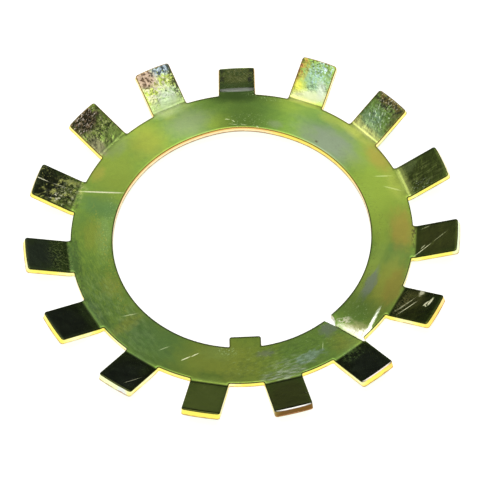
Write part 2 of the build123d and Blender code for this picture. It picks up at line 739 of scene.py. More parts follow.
    def sprung(self, plan: np.ndarray) -> np.ndarray:
        """Height by which the end of the ring has sprung up at the crack, with its curl.

        Args:
            plan: the points in plan.

        Returns:
            The height at each point, which is 0 on the other side of the crack.
        """
        warp = self.warp
        reach = self.past_crack(plan)
        rise = np.exp(-((reach / warp.spring_length) ** 2)) * warp.spring_height
        curl = np.exp(-np.abs(reach) / warp.curl_length) * warp.curl_height
        return np.where(reach > 0, rise - curl, 0.0)

    def skin(self) -> tuple[np.ndarray, np.ndarray, list[tuple[int, ...]], list[int]]:
        """Joins the two faces and the walls between them.

        Returns:
            The points in plan, the height of each in the flat sheet, the mesh faces and the
            kind of wall that each of those belongs to.
        """
        size = self.sizes
        plan, drops, walls, triangles, rim = self.layout().triangulated()
        count, rim_count = len(plan), len(rim)
        top = size.thickness - drops
        ahead = np.roll(plan[rim], -1, axis=0) - np.roll(plan[rim], 1, axis=0)
        ahead /= np.linalg.norm(ahead, axis=1)[:, None]
        outwards = np.stack((ahead[:, 1], -ahead[:, 0]), axis=1)
        plans, depths = [plan, plan], [top, np.zeros(count)]
        for level in self.wall_levels:
            depth = top[rim] * level
            rough = self.wall_relief(plan[rim], depth, walls)
            plans.append(plan[rim] - outwards * rough[:, None])
            depths.append(depth)
        flat, depth = np.concatenate(plans), np.concatenate(depths)
        rows = [rim]
        rows += [2 * count + k * rim_count + np.arange(rim_count)
                 for k in range(len(self.wall_levels))]
        rows.append(rim + count)
        faces = [tuple(t) for t in triangles]
        faces += [(c + count, b + count, a + count) for a, b, c in triangles]
        middles = np.linalg.norm(plan[triangles].mean(axis=1), axis=1)
        kinds = 2 * np.where(middles < size.ring_radius, Wall.RING, Wall.TAB).tolist()
        for upper, lower in zip(rows, rows[1:]):
            for k in range(rim_count):
                n = (k + 1) % rim_count
                faces.append((int(upper[k]), int(lower[k]), int(lower[n]), int(upper[n])))
                kinds.append(int(walls[k]))
        return flat, depth, faces, kinds

    def build(self) -> bpy.types.Object:
        """Makes the flat sheet as a closed mesh, in metres, with its attributes.

        Returns:
            The object, unturned at the origin.
        """
        flat, depth, faces, kinds = self.skin()
        height = depth + self.warped(flat)
        mesh = bpy.data.meshes.new("washer_blank")
        mesh.from_pydata((np.column_stack((flat, height)) * MM).tolist(), [], faces)
        of_points = {
            "sheet_depth": depth / self.sizes.thickness,
            "tab_scatter": self.per_tab(flat, np.radians(self.tab_scatter)),
            "tab_mottle": self.per_tab(flat, self.tab_mottle),
            "past_crack": np.clip(self.past_crack(flat) / self.fine_step, 0, 1),
        }
        for name, values in of_points.items():
            mesh.attributes.new(name, "FLOAT", "POINT").data.foreach_set("value", values)
        mesh.attributes.new("wall_kind", "INT", "FACE").data.foreach_set("value", np.array(kinds))
        mesh.shade_smooth()
        blank = bpy.data.objects.new("washer_blank", mesh)
        bpy.context.scene.collection.objects.link(blank)
        return blank

    def wall_relief(self, points: np.ndarray, depth: np.ndarray, walls: np.ndarray) -> np.ndarray:
        """How far the wall lies back, from shear and from fracture.

        Args:
            points: points of the outline.
            depth: height of each on the wall.
            walls: which wall each lies on.

        Returns:
            The distances.
        """
        back = np.zeros(len(points))
        for k, (point, z, wall) in enumerate(zip(points, depth, walls)):
            grain = 0.5 + noise.noise(Vector((*point, z)) * Vector(self.wall_grain))
            if wall == Wall.BROKEN:
                back[k] = grain * self.break_roughness
            elif z < self.sizes.thickness / 2:
                back[k] = grain * self.shear_roughness
        return back

    def per_tab(self, flat: np.ndarray, values: tuple[float, ...]) -> np.ndarray:
        """Gives each point the value of its tab.

        Args:
            flat: the points in plan.
            values: one value for each tab.

        Returns:
            The value of the tab that each point belongs to or lies behind.
        """
        turn = np.arctan2(flat[:, 0], flat[:, 1])
        index = np.round(turn / self.sizes.tab_pitch).astype(int) % self.sizes.tab_count
        return np.asarray(values)[index]


@dataclass
class Layout:
    """Points of the face in plan, with what is known of them before they are joined."""

    points: np.ndarray
    drops: np.ndarray
    edges: list[tuple[int, int]]
    walls: np.ndarray

    def triangulated(self) -> tuple[np.ndarray, np.ndarray, np.ndarray, np.ndarray, np.ndarray]:
        """Joins the points by triangles inside the outline.

        Returns:
            The points, their drops, the kind of each wall, the triangles and the numbers
            of the outline's points in order.
        """
        rim_count = len(self.walls)
        outline = [list(range(rim_count))]
        verts = [Vector(point) for point in self.points]
        inside_only, closeness = 1, 1e-7
        plan, _, faces, sources, _, _ = delaunay_2d_cdt(verts, self.edges, outline, inside_only,
                                                        closeness)
        origin = np.array([source[0] if source else -1 for source in sources])
        if (origin < 0).any():
            raise ValueError("the outline crosses itself or one of its rolled rows")
        place = {int(source): k for k, source in enumerate(origin)}
        rim = np.array([place[k] for k in range(rim_count)])
        points = np.array([tuple(point) for point in plan])
        triangles = np.array([tuple(face) for face in faces])
        return points, self.drops[origin], self.walls, triangles, rim


class Graph:
    """Adds nodes to a node tree and joins them, with plain values or sockets as inputs."""

    def __init__(self, tree: bpy.types.NodeTree) -> None:
        """Works on this node tree."""
        self.tree = tree

    def add(self, kind: str, *values: object, **settings: object) -> bpy.types.Node:
        """Adds one node.

        Args:
            kind: Blender's name of the node type.
            values: what goes into its inputs in order, where None leaves one alone.
            settings: properties of the node, which are set before its inputs.

        Returns:
            The node.
        """
        node = self.tree.nodes.new(kind)
        for name, value in settings.items():
            setattr(node, name, value)
        for socket, value in zip(node.inputs, values):
            self.feed(socket, value)
        return node

    def feed(self, socket: Socket, value: object) -> None:
        """Links an output into a socket, or sets the socket to a plain value.

        Args:
            socket: the socket.
            value: the output or the plain value, where None leaves the socket alone.
        """
        if isinstance(value, Socket):
            self.tree.links.new(value, socket)
        elif value is not None:
            socket.default_value = value

    def maths(self, operation: str, *values: object) -> Socket:
        """Result of one maths node."""
        return self.add("ShaderNodeMath", *values, operation=operation).outputs[0]


class FoldGraph(Graph):
    """Maths of the Geometry Nodes tree that folds the tabs."""

    def choose(self, switch: object, lowered: object, raised: object) -> Socket:
        """The first value on the lowered tab, and the second on the others."""
        node = self.add("GeometryNodeSwitch", switch, raised, lowered, input_type="FLOAT")
        return node.outputs[0]


@dataclass
class TabFolds:
    """Folds the tabs of the blank with a Geometry Nodes tree and gives it its materials."""

    sizes: WasherSizes
    materials: dict[Wall, bpy.types.Material]

    def inputs(self) -> list[tuple[str, str, object]]:
        """Lists the inputs of the tree.

        Returns:
            The name, the socket type and the value of each, in metres and radians.
        """
        size = self.sizes
        numbers = [
            ("Tab count", float(size.tab_count)),
            ("Thickness", size.thickness * MM),
            ("Fold radius", size.fold_radius * MM),
            ("Raised fold start", size.fold_start(1) * MM),
            ("Lowered fold start", size.fold_start(0) * MM),
            ("Raise angle", math.radians(size.raise_angle)),
            ("Lower angle", math.radians(size.lower_angle)),
        ]
        rows = [(name, "NodeSocketFloat", value) for name, value in numbers]
        for wall, material in self.materials.items():
            rows.append((f"{wall.name.capitalize()} material", "NodeSocketMaterial", material))
        return rows

    def tree(self) -> bpy.types.NodeTree:
        """Builds the node tree.

        Returns:
            The tree, which moves each point of the blank from the flat into its fold.
        """
        tree = bpy.data.node_groups.new("fold_tabs", "GeometryNodeTree")
        tree.is_modifier = True
        tree.interface.new_socket("Geometry", in_out="OUTPUT", socket_type="NodeSocketGeometry")
        tree.interface.new_socket("Geometry", in_out="INPUT", socket_type="NodeSocketGeometry")
        for name, kind, _ in self.inputs():
            tree.interface.new_socket(name, in_out="INPUT", socket_type=kind)
        graph = FoldGraph(tree)
        entry = graph.add("NodeGroupInput").outputs
        moved = graph.add("GeometryNodeSetPosition", entry["Geometry"])
        graph.feed(moved.inputs["Position"], self.folded_position(graph, entry))
        shape = graph.add("GeometryNodeRealizeInstances", moved.outputs[0]).outputs[0]
        kind = graph.add("GeometryNodeInputNamedAttribute", "wall_kind", data_type="INT")
        for wall in self.materials:
            chosen = graph.add("FunctionNodeCompare", data_type="INT", operation="EQUAL")
            for number, value in zip(COMPARED_INTEGERS, (kind.outputs["Attribute"], int(wall))):
                graph.feed(chosen.inputs[number], value)
            material = entry[f"{wall.name.capitalize()} material"]
            node = graph.add("GeometryNodeSetMaterial", shape, chosen.outputs[0], material)
            shape = node.outputs[0]
        graph.add("NodeGroupOutput", shape)
        return tree

    def folded_position(self, graph: FoldGraph, entry: object) -> Socket:
        """Place of a point after folding.

        The point keeps its distance from the inner face of the sheet. Up to the start of the
        fold it stays, through the fold it turns about the pivot, and past it it goes straight.

        Args:
            graph: the maths of the tree.
            entry: the outputs of the tree's input node.

        Returns:
            The new position as a vector socket.
        """
        place = graph.add("GeometryNodeInputPosition").outputs[0]
        x, y, z = graph.add("ShaderNodeSeparateXYZ", place).outputs
        maths = graph.maths
        radius = maths("SQRT", maths("ADD", maths("MULTIPLY", x, x), maths("MULTIPLY", y, y)))
        pitch = maths("DIVIDE", math.tau, entry["Tab count"])
        turn = maths("ARCTAN2", x, y)
        index = maths("ROUND", maths("DIVIDE", turn, pitch))
        middle = maths("MULTIPLY", index, pitch)
        offset = maths("SUBTRACT", turn, middle)
        along = maths("MULTIPLY", radius, maths("COSINE", offset))
        across = maths("MULTIPLY", radius, maths("SINE", offset))
        lowered = maths("COMPARE", index, 0.0, 0.5)
        scatter = graph.add("GeometryNodeInputNamedAttribute", "tab_scatter", data_type="FLOAT")
        raised = maths("ADD", entry["Raise angle"], scatter.outputs["Attribute"])
        lowering = maths("ADD", entry["Lower angle"], scatter.outputs["Attribute"])
        fold = graph.choose(lowered, maths("MULTIPLY", lowering, -1.0), raised)
        start = graph.choose(lowered, entry["Lowered fold start"], entry["Raised fold start"])
        above = maths("ADD", entry["Thickness"], entry["Fold radius"])
        pivot = graph.choose(lowered, maths("MULTIPLY", entry["Fold radius"], -1.0), above)
        middle_radius = maths("MULTIPLY_ADD", entry["Thickness"], 0.5, entry["Fold radius"])
        length = maths("MULTIPLY", maths("ABSOLUTE", fold), middle_radius)
        past = maths("SUBTRACT", along, start)
        share = maths("MINIMUM", maths("MAXIMUM", maths("DIVIDE", past, length), 0.0), 1.0)
        angle = maths("MULTIPLY", fold, share)
        rest = maths("MAXIMUM", maths("SUBTRACT", past, length), 0.0)
        arm = maths("SUBTRACT", pivot, z)
        cosine, sine = maths("COSINE", angle), maths("SINE", angle)
        reach = maths("ADD", maths("MINIMUM", along, start), maths("MULTIPLY", arm, sine))
        reach = maths("MULTIPLY_ADD", rest, cosine, reach)
        height = maths("SUBTRACT", pivot, maths("MULTIPLY", arm, cosine))
        height = maths("MULTIPLY_ADD", rest, sine, height)
        ahead_x, ahead_y = maths("SINE", middle), maths("COSINE", middle)
        new_x = maths("ADD", maths("MULTIPLY", reach, ahead_x), maths("MULTIPLY", across, ahead_y))
        new_y = maths("SUBTRACT", maths("MULTIPLY", reach, ahead_y),
                      maths("MULTIPLY", across, ahead_x))
        return graph.add("ShaderNodeCombineXYZ", new_x, new_y, height).outputs[0]

    def fold(self, blank: bpy.types.Object, name: str) -> bpy.types.Object:
        """Folds the blank.

        Args:
            blank: the flat sheet.
            name: name of the folded piece.

        Returns:
            The folded piece as a plain mesh. The blank is removed.
        """
        modifier = blank.modifiers.new("fold_tabs", "NODES")
        modifier.node_group = self.tree()
        sockets = {item.name: item.identifier for item in modifier.node_group.interface.items_tree
                   if item.in_out == "INPUT"}
        for label, _, value in self.inputs():
            modifier[sockets[label]] = value
        graph = bpy.context.evaluated_depsgraph_get()
        mesh = bpy.data.meshes.new_from_object(blank.evaluated_get(graph), depsgraph=graph)
        mesh.name = name
        blank.modifiers.remove(modifier)
        bpy.data.objects.remove(blank)
        piece = bpy.data.objects.new(name, mesh)
        bpy.context.scene.collection.objects.link(piece)
        return piece


class Paint(Graph):
    """Shader node tree of one finish. Its lengths are in millimetres."""

    def __init__(self, material: bpy.types.Material) -> None:
        """Empties a material's tree and gives it a metal shader.

        Args:
            material: the material.
        """
        material.use_nodes = True
        super().__init__(material.node_tree)
        self.tree.nodes.clear()
        self.shader = self.add("ShaderNodeBsdfPrincipled")
        self.add("ShaderNodeOutputMaterial", self.shader.outputs[0])
        self.shader.inputs["Metallic"].default_value = 1.0
        place = self.add("ShaderNodeTexCoord").outputs["Object"]
        scaled = self.add("ShaderNodeVectorMath", place, operation="SCALE")
        scaled.inputs["Scale"].default_value = 1 / MM
        self.place = scaled.outputs[0]
        plan = self.add("ShaderNodeVectorMath", self.place, (1, 1, 0), operation="MULTIPLY")
        self.plan = plan.outputs[0]

    def known(self, name: str) -> Socket:
        """Value that the mesh stores under this name."""
        return self.add("ShaderNodeAttribute", attribute_name=name).outputs["Fac"]

    def range(self, value: object, start: float, end: float, low: object = 0.0,
              high: object = 1.0) -> Socket:
        """Smooth step of a value.

        Args:
            value: the value.
            start: value at which the result is low.
            end: value at which the result is high.
            low: result on the start's side.
            high: result on the end's side.

        Returns:
            The result.
        """
        node = self.add("ShaderNodeMapRange", value, start, end, low, high,
                        interpolation_type="SMOOTHSTEP")
        return node.outputs[0]

    def noise(self, cell: float, detail: float = 3.0, seed: float = 0.0,
              place: object = None, stretch: float = 1.0, turn: float = 0.0) -> Socket:
        """Noise from 0 to 1.

        Args:
            cell: size of its cells across the grain.
            detail: number of finer octaves.
            seed: shift that makes it differ from others.
            place: coordinates, or none for the point itself.
            stretch: how many times longer the cells are along the grain.
            turn: direction of the grain in plan, in degrees from X.

        Returns:
            The noise.
        """
        spun = self.add("ShaderNodeMapping", place or self.place, vector_type="TEXTURE")
        spun.inputs["Location"].default_value = [seed * step for step in SEED_STEP]
        spun.inputs["Rotation"].default_value = (0, 0, math.radians(turn))
        spun.inputs["Scale"].default_value = (cell * stretch, cell, cell)
        node = self.add("ShaderNodeTexNoise", spun.outputs[0])
        node.inputs["Scale"].default_value = 1.0
        node.inputs["Detail"].default_value = detail
        return node.outputs[0]

    def local(self, x: float, y: float, turn: float, length: float, width: float) -> Socket:
        """Coordinates in plan of a mark, which reach 1 at these distances from its middle.

        Args:
            x: place of its middle in millimetres.
            y: place of its middle in millimetres.
            turn: its direction in degrees from X.
            length: distance along it.
            width: distance across it.

        Returns:
            The coordinates.
        """
        spun = self.add("ShaderNodeMapping", self.plan, vector_type="TEXTURE")
        spun.inputs["Location"].default_value = (x, y, 0)
        spun.inputs["Rotation"].default_value = (0, 0, math.radians(turn))
        spun.inputs["Scale"].default_value = (length, width, 1)
        return spun.outputs[0]

    def nearness(self, local: object) -> Socket:
        """1 in the middle of a mark, falling evenly to 0 where its coordinates reach 1."""
        return self.add("ShaderNodeTexGradient", local, gradient_type="SPHERICAL").outputs["Fac"]

    def mix(self, share: object, first: object, second: object) -> Socket:
        """Colour between two colours, where a plain one has three parts.

        Args:
            share: how much of the second one shows, from 0 to 1.
            first: the first colour.
            second: the second colour.

        Returns:
            The colour.
        """
        node = self.add("ShaderNodeMix", data_type="RGBA")
        self.feed(node.inputs[0], share)
        for number, colour in zip(MIXED_COLOURS, (first, second)):
            colour = (*colour, 1.0) if isinstance(colour, tuple) else colour
            self.feed(node.inputs[number], colour)
        return node.outputs[COLOUR_RESULT]

    def blend(self, share: object, first: object, second: object) -> Socket:
        """Number between two numbers."""
        return self.add("ShaderNodeMix", share, None, first, second).outputs[0]

    def bump(self, height: object, distance: float, strength: object = 1.0,
             below: object = None) -> Socket:
        """Normal of a surface with this relief.

        Args:
            height: height from 0 to 1.
            distance: height in millimetres that 1 stands for.
            strength: share of the relief that shows.
            below: normal of a coarser relief under it.

        Returns:
            The normal.
        """
        node = self.add("ShaderNodeBump")
        node.inputs["Distance"].default_value = distance * MM
        self.feed(node.inputs["Strength"], strength)
        self.feed(node.inputs["Height"], height)
        self.feed(node.inputs["Normal"], below)
        return node.outputs[0]

    def surface(self, colour: object, roughness: object, normal: object) -> None:
        """Sets the shader.

        Args:
            colour: colour of the metal.
            roughness: its roughness.
            normal: its normal.
        """
        for name, value in (("Base Color", colour), ("Roughness", roughness), ("Normal", normal)):
            self.feed(self.shader.inputs[name], value)

    def turned(self, share: object, normal: object, facet: tuple[float, float, float]) -> Socket:
        """Normal turned towards that of a facet.

        Args:
            share: how far it is turned, from 0 to 1.
            normal: the normal before.
            facet: direction that the facets face, in the piece's own axes.

        Returns:
            The normal.
        """
        facing = self.add("ShaderNodeVectorTransform", facet, vector_type="NORMAL",
                          convert_from="OBJECT", convert_to="WORLD").outputs[0]
        between = self.add("ShaderNodeMix", data_type="VECTOR")
        self.feed(between.inputs[0], share)
        for number, direction in zip(MIXED_VECTORS, (normal, facing)):
            self.feed(between.inputs[number], direction)
        return self.add("ShaderNodeVectorMath", between.outputs[VECTOR_RESULT],
                        operation="NORMALIZE").outputs[0]


@dataclass(frozen=True)
class Grain:
    """Noise that a smooth step turns into a share, with its cell in millimetres."""

    cell: float
    detail: float
    seed: float
    start: float
    end: float
    low: float = 0.0
    high: float = 1.0

    def share(self, paint: Paint) -> Socket:
        """The share at a point, from low to high."""
        noise_here = paint.noise(self.cell, self.detail, self.seed)
        return paint.range(noise_here, self.start, self.end, self.low, self.high)


def beside_tab(tab: int, across: float, along: float) -> tuple[float, float]:
    """Place of a mark in the blank, given in a tab's own directions.

    Args:
        tab: number of the tab, clockwise from the lowered one.
        across: distance clockwise from the tab's centreline.
        along: distance from the axis.

    Returns:
        The place along X and along Y.
    """
    turn = math.radians(TAB_STEP * tab)
    sine, cosine = math.sin(turn), math.cos(turn)
    return along * sine + across * cosine, along * cosine - across * sine


@dataclass(frozen=True)
class Patch:
    """A stain, a rubbed place, a painted highlight or painted shade, with a soft ragged edge. Lengths are
    in millimetres.

    Its grain is stretched with it, and is given in halves of its length and width, as are
    the raggedness and the width of the soft edge. A rough one scatters the light, and a lit
    one is cut by facets that face the overhead light.
    """

    x: float
    y: float
    length: float
    width: float
    turn: float
    colour: Colour
    strength: float = 0.7
    ragged: float = 0.3
    grain: float = 0.5
    edge: float = 0.9
    rough: float = 0.0
    lit: float = 0.0

    @classmethod
    def on_ring(cls, angle: float, radius: float, length: float, width: float,
                *look: object, **options: float) -> "Patch":
        """Makes one that lies along the ring.

        Args:
            angle: degrees clockwise from the middle of the lowered tab.
            radius: distance of its middle from the axis.
            length: size along the ring.
            width: size across the ring.
            look: its colour and its strength.
            options: the fields that differ from their usual values.

        Returns:
            The patch.
        """
        turn = math.radians(angle)
        x, y = radius * math.sin(turn), radius * math.cos(turn)
        return cls(x, y, length, width, -angle, *look, **options)

    @classmethod
    def on_tab(cls, tab: int, across: float, along: float, length: float, width: float,
               turn: float, *look: object, **options: float) -> "Patch":
        """Makes one that lies on a tab.

        Args:
            tab: number of the tab, clockwise from the lowered one.
            across: distance of its middle clockwise from the tab's centreline.
            along: distance of its middle from the axis.
            length: size in its own direction, which is outwards if it isn't turned.
            width: size across its own direction.
            turn: degrees that it is turned anticlockwise.
            look: its colour and its strength.
            options: the fields that differ from their usual values.

        Returns:
            The patch.
        """
        outwards = 90.0 - TAB_STEP * tab
        return cls(*beside_tab(tab, across, along), length, width, outwards + turn, *look,
                   **options)

    def reach(self) -> tuple[float, float]:
        """Finds how far from the axis the patch shows.

        Returns:
            The least and the greatest distance.
        """
        turn = math.radians(self.turn) - math.atan2(self.y, self.x)
        extent = math.hypot(self.length * math.cos(turn), self.width * math.sin(turn))
        extent *= (1 + self.edge / 2 + self.ragged) / 2
        middle = math.hypot(self.x, self.y)
        return middle - extent, middle + extent

    def share(self, paint: Paint) -> Socket:
        """How much of the patch shows at a point.

        Args:
            paint: the finish that it belongs to.

        Returns:
            The share, from 0 to the patch's strength.
        """
        # Twice the distance from the middle, made ragged, with a minus, so the edge is at -1
        local = paint.local(self.x, self.y, self.turn, self.length, self.width)
        grain = paint.noise(self.grain / 2, seed=self.x + self.y, place=local)
        shift = paint.maths("MULTIPLY_ADD", grain, -4 * self.ragged, 2 * self.ragged - 2)
        nearness = paint.maths("MULTIPLY_ADD", paint.nearness(local), 2.0, shift)
        return paint.range(nearness, -1 - self.edge / 2, -1 + self.edge / 2, 0.0, self.strength)


@dataclass(frozen=True)
class Mottles(Patch):
    """Blots of one colour that cover some of a patch, and may be drawn out along it.

    The spread is the part of the noise's range in which most of its values lie.
    """

    cell: float = 0.6
    cover: float = 0.5
    stretch: float = 1.3
    sharp: float = 0.05
    spread: float = 0.45

    def share(self, paint: Paint) -> Socket:
        """How much of the blots shows at a point.

        Args:
            paint: the finish that they belong to.

        Returns:
            The share, from 0 to the strength of the blots.
        """
        blots = paint.noise(self.cell, 2.0, self.x - self.y, paint.plan, self.stretch, self.turn)
        level = 0.5 + (0.5 - self.cover) * self.spread
        inked = paint.range(blots, level - self.sharp, level + self.sharp)
        return paint.maths("MULTIPLY", super().share(paint), inked)


@dataclass(frozen=True)
class Scratch:
    """A scratch from one point to another, in millimetres, which thins out at its ends.

    Its width is half of what it covers, and it fades in over the soft share of that.
    """

    x: float
    y: float
    end_x: float
    end_y: float
    width: float = 0.16
    strength: float = 0.6
    soft: float = 0.6

    @classmethod
    def on_tab(cls, tab: int, across: float, along: float, end_across: float, end_along: float,
               width: float = 0.12, strength: float = 0.6) -> "Scratch":
        """Makes one that lies on a tab.

        Args:
            tab: number of the tab, clockwise from the lowered one.
            across: distance of its start clockwise from the tab's centreline.
            along: distance of its start from the axis.
            end_across: the same distance of its end.
            end_along: the same distance of its end.
            width: half of its width.
            strength: how much it shows.

        Returns:
            The scratch.
        """
        return cls(*beside_tab(tab, across, along), *beside_tab(tab, end_across, end_along),
                   width, strength)

    def reach(self) -> tuple[float, float]:
        """Distances of its ends from the axis, the smaller one first."""
        ends = math.hypot(self.x, self.y), math.hypot(self.end_x, self.end_y)
        return min(ends), max(ends)

    def share(self, paint: Paint) -> Socket:
        """How much of the scratch shows at a point.

        Args:
            paint: the finish that it belongs to.

        Returns:
            The share, from 0 to the scratch's strength.
        """
        ahead = Vector((self.end_x - self.x, self.end_y - self.y))
        turn = math.degrees(math.atan2(ahead.y, ahead.x))
        middle = (self.x + ahead.x / 2, self.y + ahead.y / 2)
        local = paint.local(*middle, turn, ahead.length / 2, self.width)
        return paint.range(paint.nearness(local), 0.0, self.soft, 0.0, self.strength)


# Colours of the film and of what lies on it or shows under it, as linear red, green and blue
GREEN = (0.24, 0.42, 0.070)
MOSS = (0.17, 0.31, 0.05)
LIME = (0.40, 0.56, 0.070)
OLIVE = (0.47, 0.49, 0.065)
TEAL = (0.165, 0.32, 0.085)
SLATE = (0.32, 0.39, 0.21)
STEEL = (0.29, 0.36, 0.24)
UMBER = (0.54, 0.45, 0.08)
SEPIA = (0.10, 0.06, 0.03)
INK = (0.035, 0.045, 0.02)
COAL = (0.18, 0.24, 0.17)
NAVY = (0.03, 0.05, 0.07)
LEMON = (1.0, 0.95, 0.20)
CREAM = (0.97, 0.95, 0.66)
SILVER = (0.72, 0.80, 0.64)
WHITE = (1.0, 0.98, 0.92)
GOLD = (1.0, 0.86, 0.14)
STRAW = (0.92, 0.96, 0.24)
PALE = (0.66, 0.88, 0.40)

# Short names for the tables, where tones and specks lie on the ring and the rest on a tab
tone, patch = Patch.on_ring, Patch.on_tab
specks, blots = Mottles.on_ring, Mottles.on_tab
scratch = Scratch.on_tab

# Tones of the film on the ring, clockwise from the lowered tab, among them painted highlights and painted
# shade beside the roots of some tabs
RING_TONES_AND_PAINTED_LIGHT: tuple[Patch, ...] = (
    tone(8, 30, 11, 11, MOSS, 0.75, ragged=0.15, edge=1.4),
    tone(21, 33.5, 9, 4, LIME, 0.6, ragged=0.15, edge=1.4),
    tone(16, 28, 3, 1.6, SLATE, 0.5, edge=1.2),
    tone(41, 28.8, 14, 6.5, (0.30, 0.37, 0.25), 0.9, ragged=0.25, edge=1.3),
    tone(30, 32.6, 9, 4.5, TEAL, 0.5, edge=1.3),
    tone(36, 27.4, 0.6, 0.4, SEPIA, 0.75, ragged=0.2),
    # Painted highlight on the ring beside the root of the second tab
    tone(47, 34.2, 9, 2.4, LEMON, 0.4, ragged=0.2, edge=1.4),
    tone(72, 30, 18, 9, LIME, 0.9, ragged=0.15, edge=1.4),
    # Painted highlight on the ring beside the root of the third tab
    tone(72, 33.6, 7, 3.4, (0.62, 0.70, 0.12), 0.5, ragged=0.2, edge=1.4),
    tone(36, 33.8, 6, 2.6, (0.55, 0.62, 0.10), 0.5, ragged=0.3, edge=1.4),
    tone(59, 33.4, 7, 3.6, UMBER, 0.75, ragged=0.2, edge=1.3),
    tone(91, 32.4, 9, 5, UMBER, 0.85, ragged=0.25, edge=1.2),
    tone(90, 28, 10, 3.4, LIME, 0.8, ragged=0.25, edge=1.3),
    tone(103, 31, 5.5, 7, TEAL, 0.45, ragged=0.3, edge=1.2),
    tone(115, 31.5, 12, 5.5, (0.64, 0.66, 0.10), 0.65, ragged=0.2, edge=1.3),
    tone(116, 27.3, 16, 3, (0.46, 0.62, 0.10), 0.85, ragged=0.2, edge=1.3),
    tone(115, 33.2, 9, 3.4, UMBER, 0.65, ragged=0.3, edge=1.1),
    tone(118, 28.5, 7.5, 2, (0.36, 0.44, 0.30), 0.85, ragged=0.35, edge=0.9),
    tone(131, 30, 8, 7, (0.20, 0.35, 0.06), 0.7, ragged=0.3, edge=1.2),
    tone(138, 33.6, 8, 3, (0.50, 0.66, 0.12), 0.6, ragged=0.4, edge=1.2),
    tone(144.5, 28.5, 3.6, 3, STEEL, 0.9, ragged=0.4),
    tone(145, 32, 4, 4, OLIVE, 0.5, ragged=0.3, edge=1.2),
    tone(156, 30, 12, 7, GREEN, 0.6, ragged=0.3, edge=1.2),
    tone(172, 28.3, 3.4, 1.5, STEEL, 0.75, ragged=0.6),
    tone(190, 30, 17, 10, OLIVE, 0.5, ragged=0.15, edge=1.4),
    tone(192, 33.8, 5, 2.6, MOSS, 0.6, ragged=0.4, edge=1.2),
    tone(192, 28, 6, 3, (0.42, 0.58, 0.12), 0.5, ragged=0.4, edge=1.3),
    tone(217, 30.5, 12, 9, TEAL, 0.75, ragged=0.3, edge=1.2),
    tone(226, 31, 8, 10, TEAL, 0.6, ragged=0.3, edge=1.2),
    tone(247, 31, 18, 10, MOSS, 0.6, ragged=0.3, edge=1.3),
    tone(250, 32.4, 14, 5, (0.13, 0.25, 0.05), 0.5, ragged=0.4, edge=1.3),
    tone(272, 32, 18, 8, MOSS, 0.5, ragged=0.3, edge=1.3),
    tone(273, 28, 10, 3, (0.36, 0.56, 0.16), 0.5, ragged=0.4, edge=1.3),
    tone(229.5, 31, 2.5, 7, OLIVE, 0.45, ragged=0.4, edge=1.2),
    tone(248, 28.5, 5, 4, OLIVE, 0.35, ragged=0.5, edge=1.2),
    # Painted shade on the ring beside the folds of the ninth, tenth and eleventh tabs
    tone(216, 34.3, 9, 2.4, MOSS, 0.8, ragged=0.4, edge=1.2),
    tone(240, 34.3, 9, 2.6, (0.10, 0.20, 0.05), 0.8, ragged=0.4, edge=1.2),
    tone(263, 34.3, 9, 2.6, (0.10, 0.20, 0.05), 0.8, ragged=0.4, edge=1.2),
    tone(273, 30.5, 7, 3.5, OLIVE, 0.35, ragged=0.4, edge=1.2),
    tone(286.5, 30, 4.5, 9, TEAL, 0.85, ragged=0.3, edge=1),
    tone(303, 30.5, 12, 10, (0.30, 0.40, 0.055), 0.8, ragged=0.15, edge=1.4),
    tone(299, 33.4, 3.6, 2.4, UMBER, 0.4, ragged=0.3, edge=1.2),
    tone(312, 34.2, 5.5, 3.6, SLATE, 0.4, ragged=0.3, edge=1.3),
    tone(322, 30.5, 7, 8, OLIVE, 0.6, ragged=0.15, edge=1.4),
    tone(340, 30, 9, 6, SLATE, 0.65, ragged=0.2, edge=1.4),
    tone(352, 28, 5, 4, LIME, 0.5, ragged=0.2, edge=1.3),
    tone(351, 33.5, 6, 4, MOSS, 0.6, ragged=0.2, edge=1.3),
    # Painted shade on the ring beside the fold of the lowered tab
    tone(0, 34.4, 9.6, 3.4, (0.09, 0.17, 0.03), 0.95, ragged=0.15, edge=1.2),
)
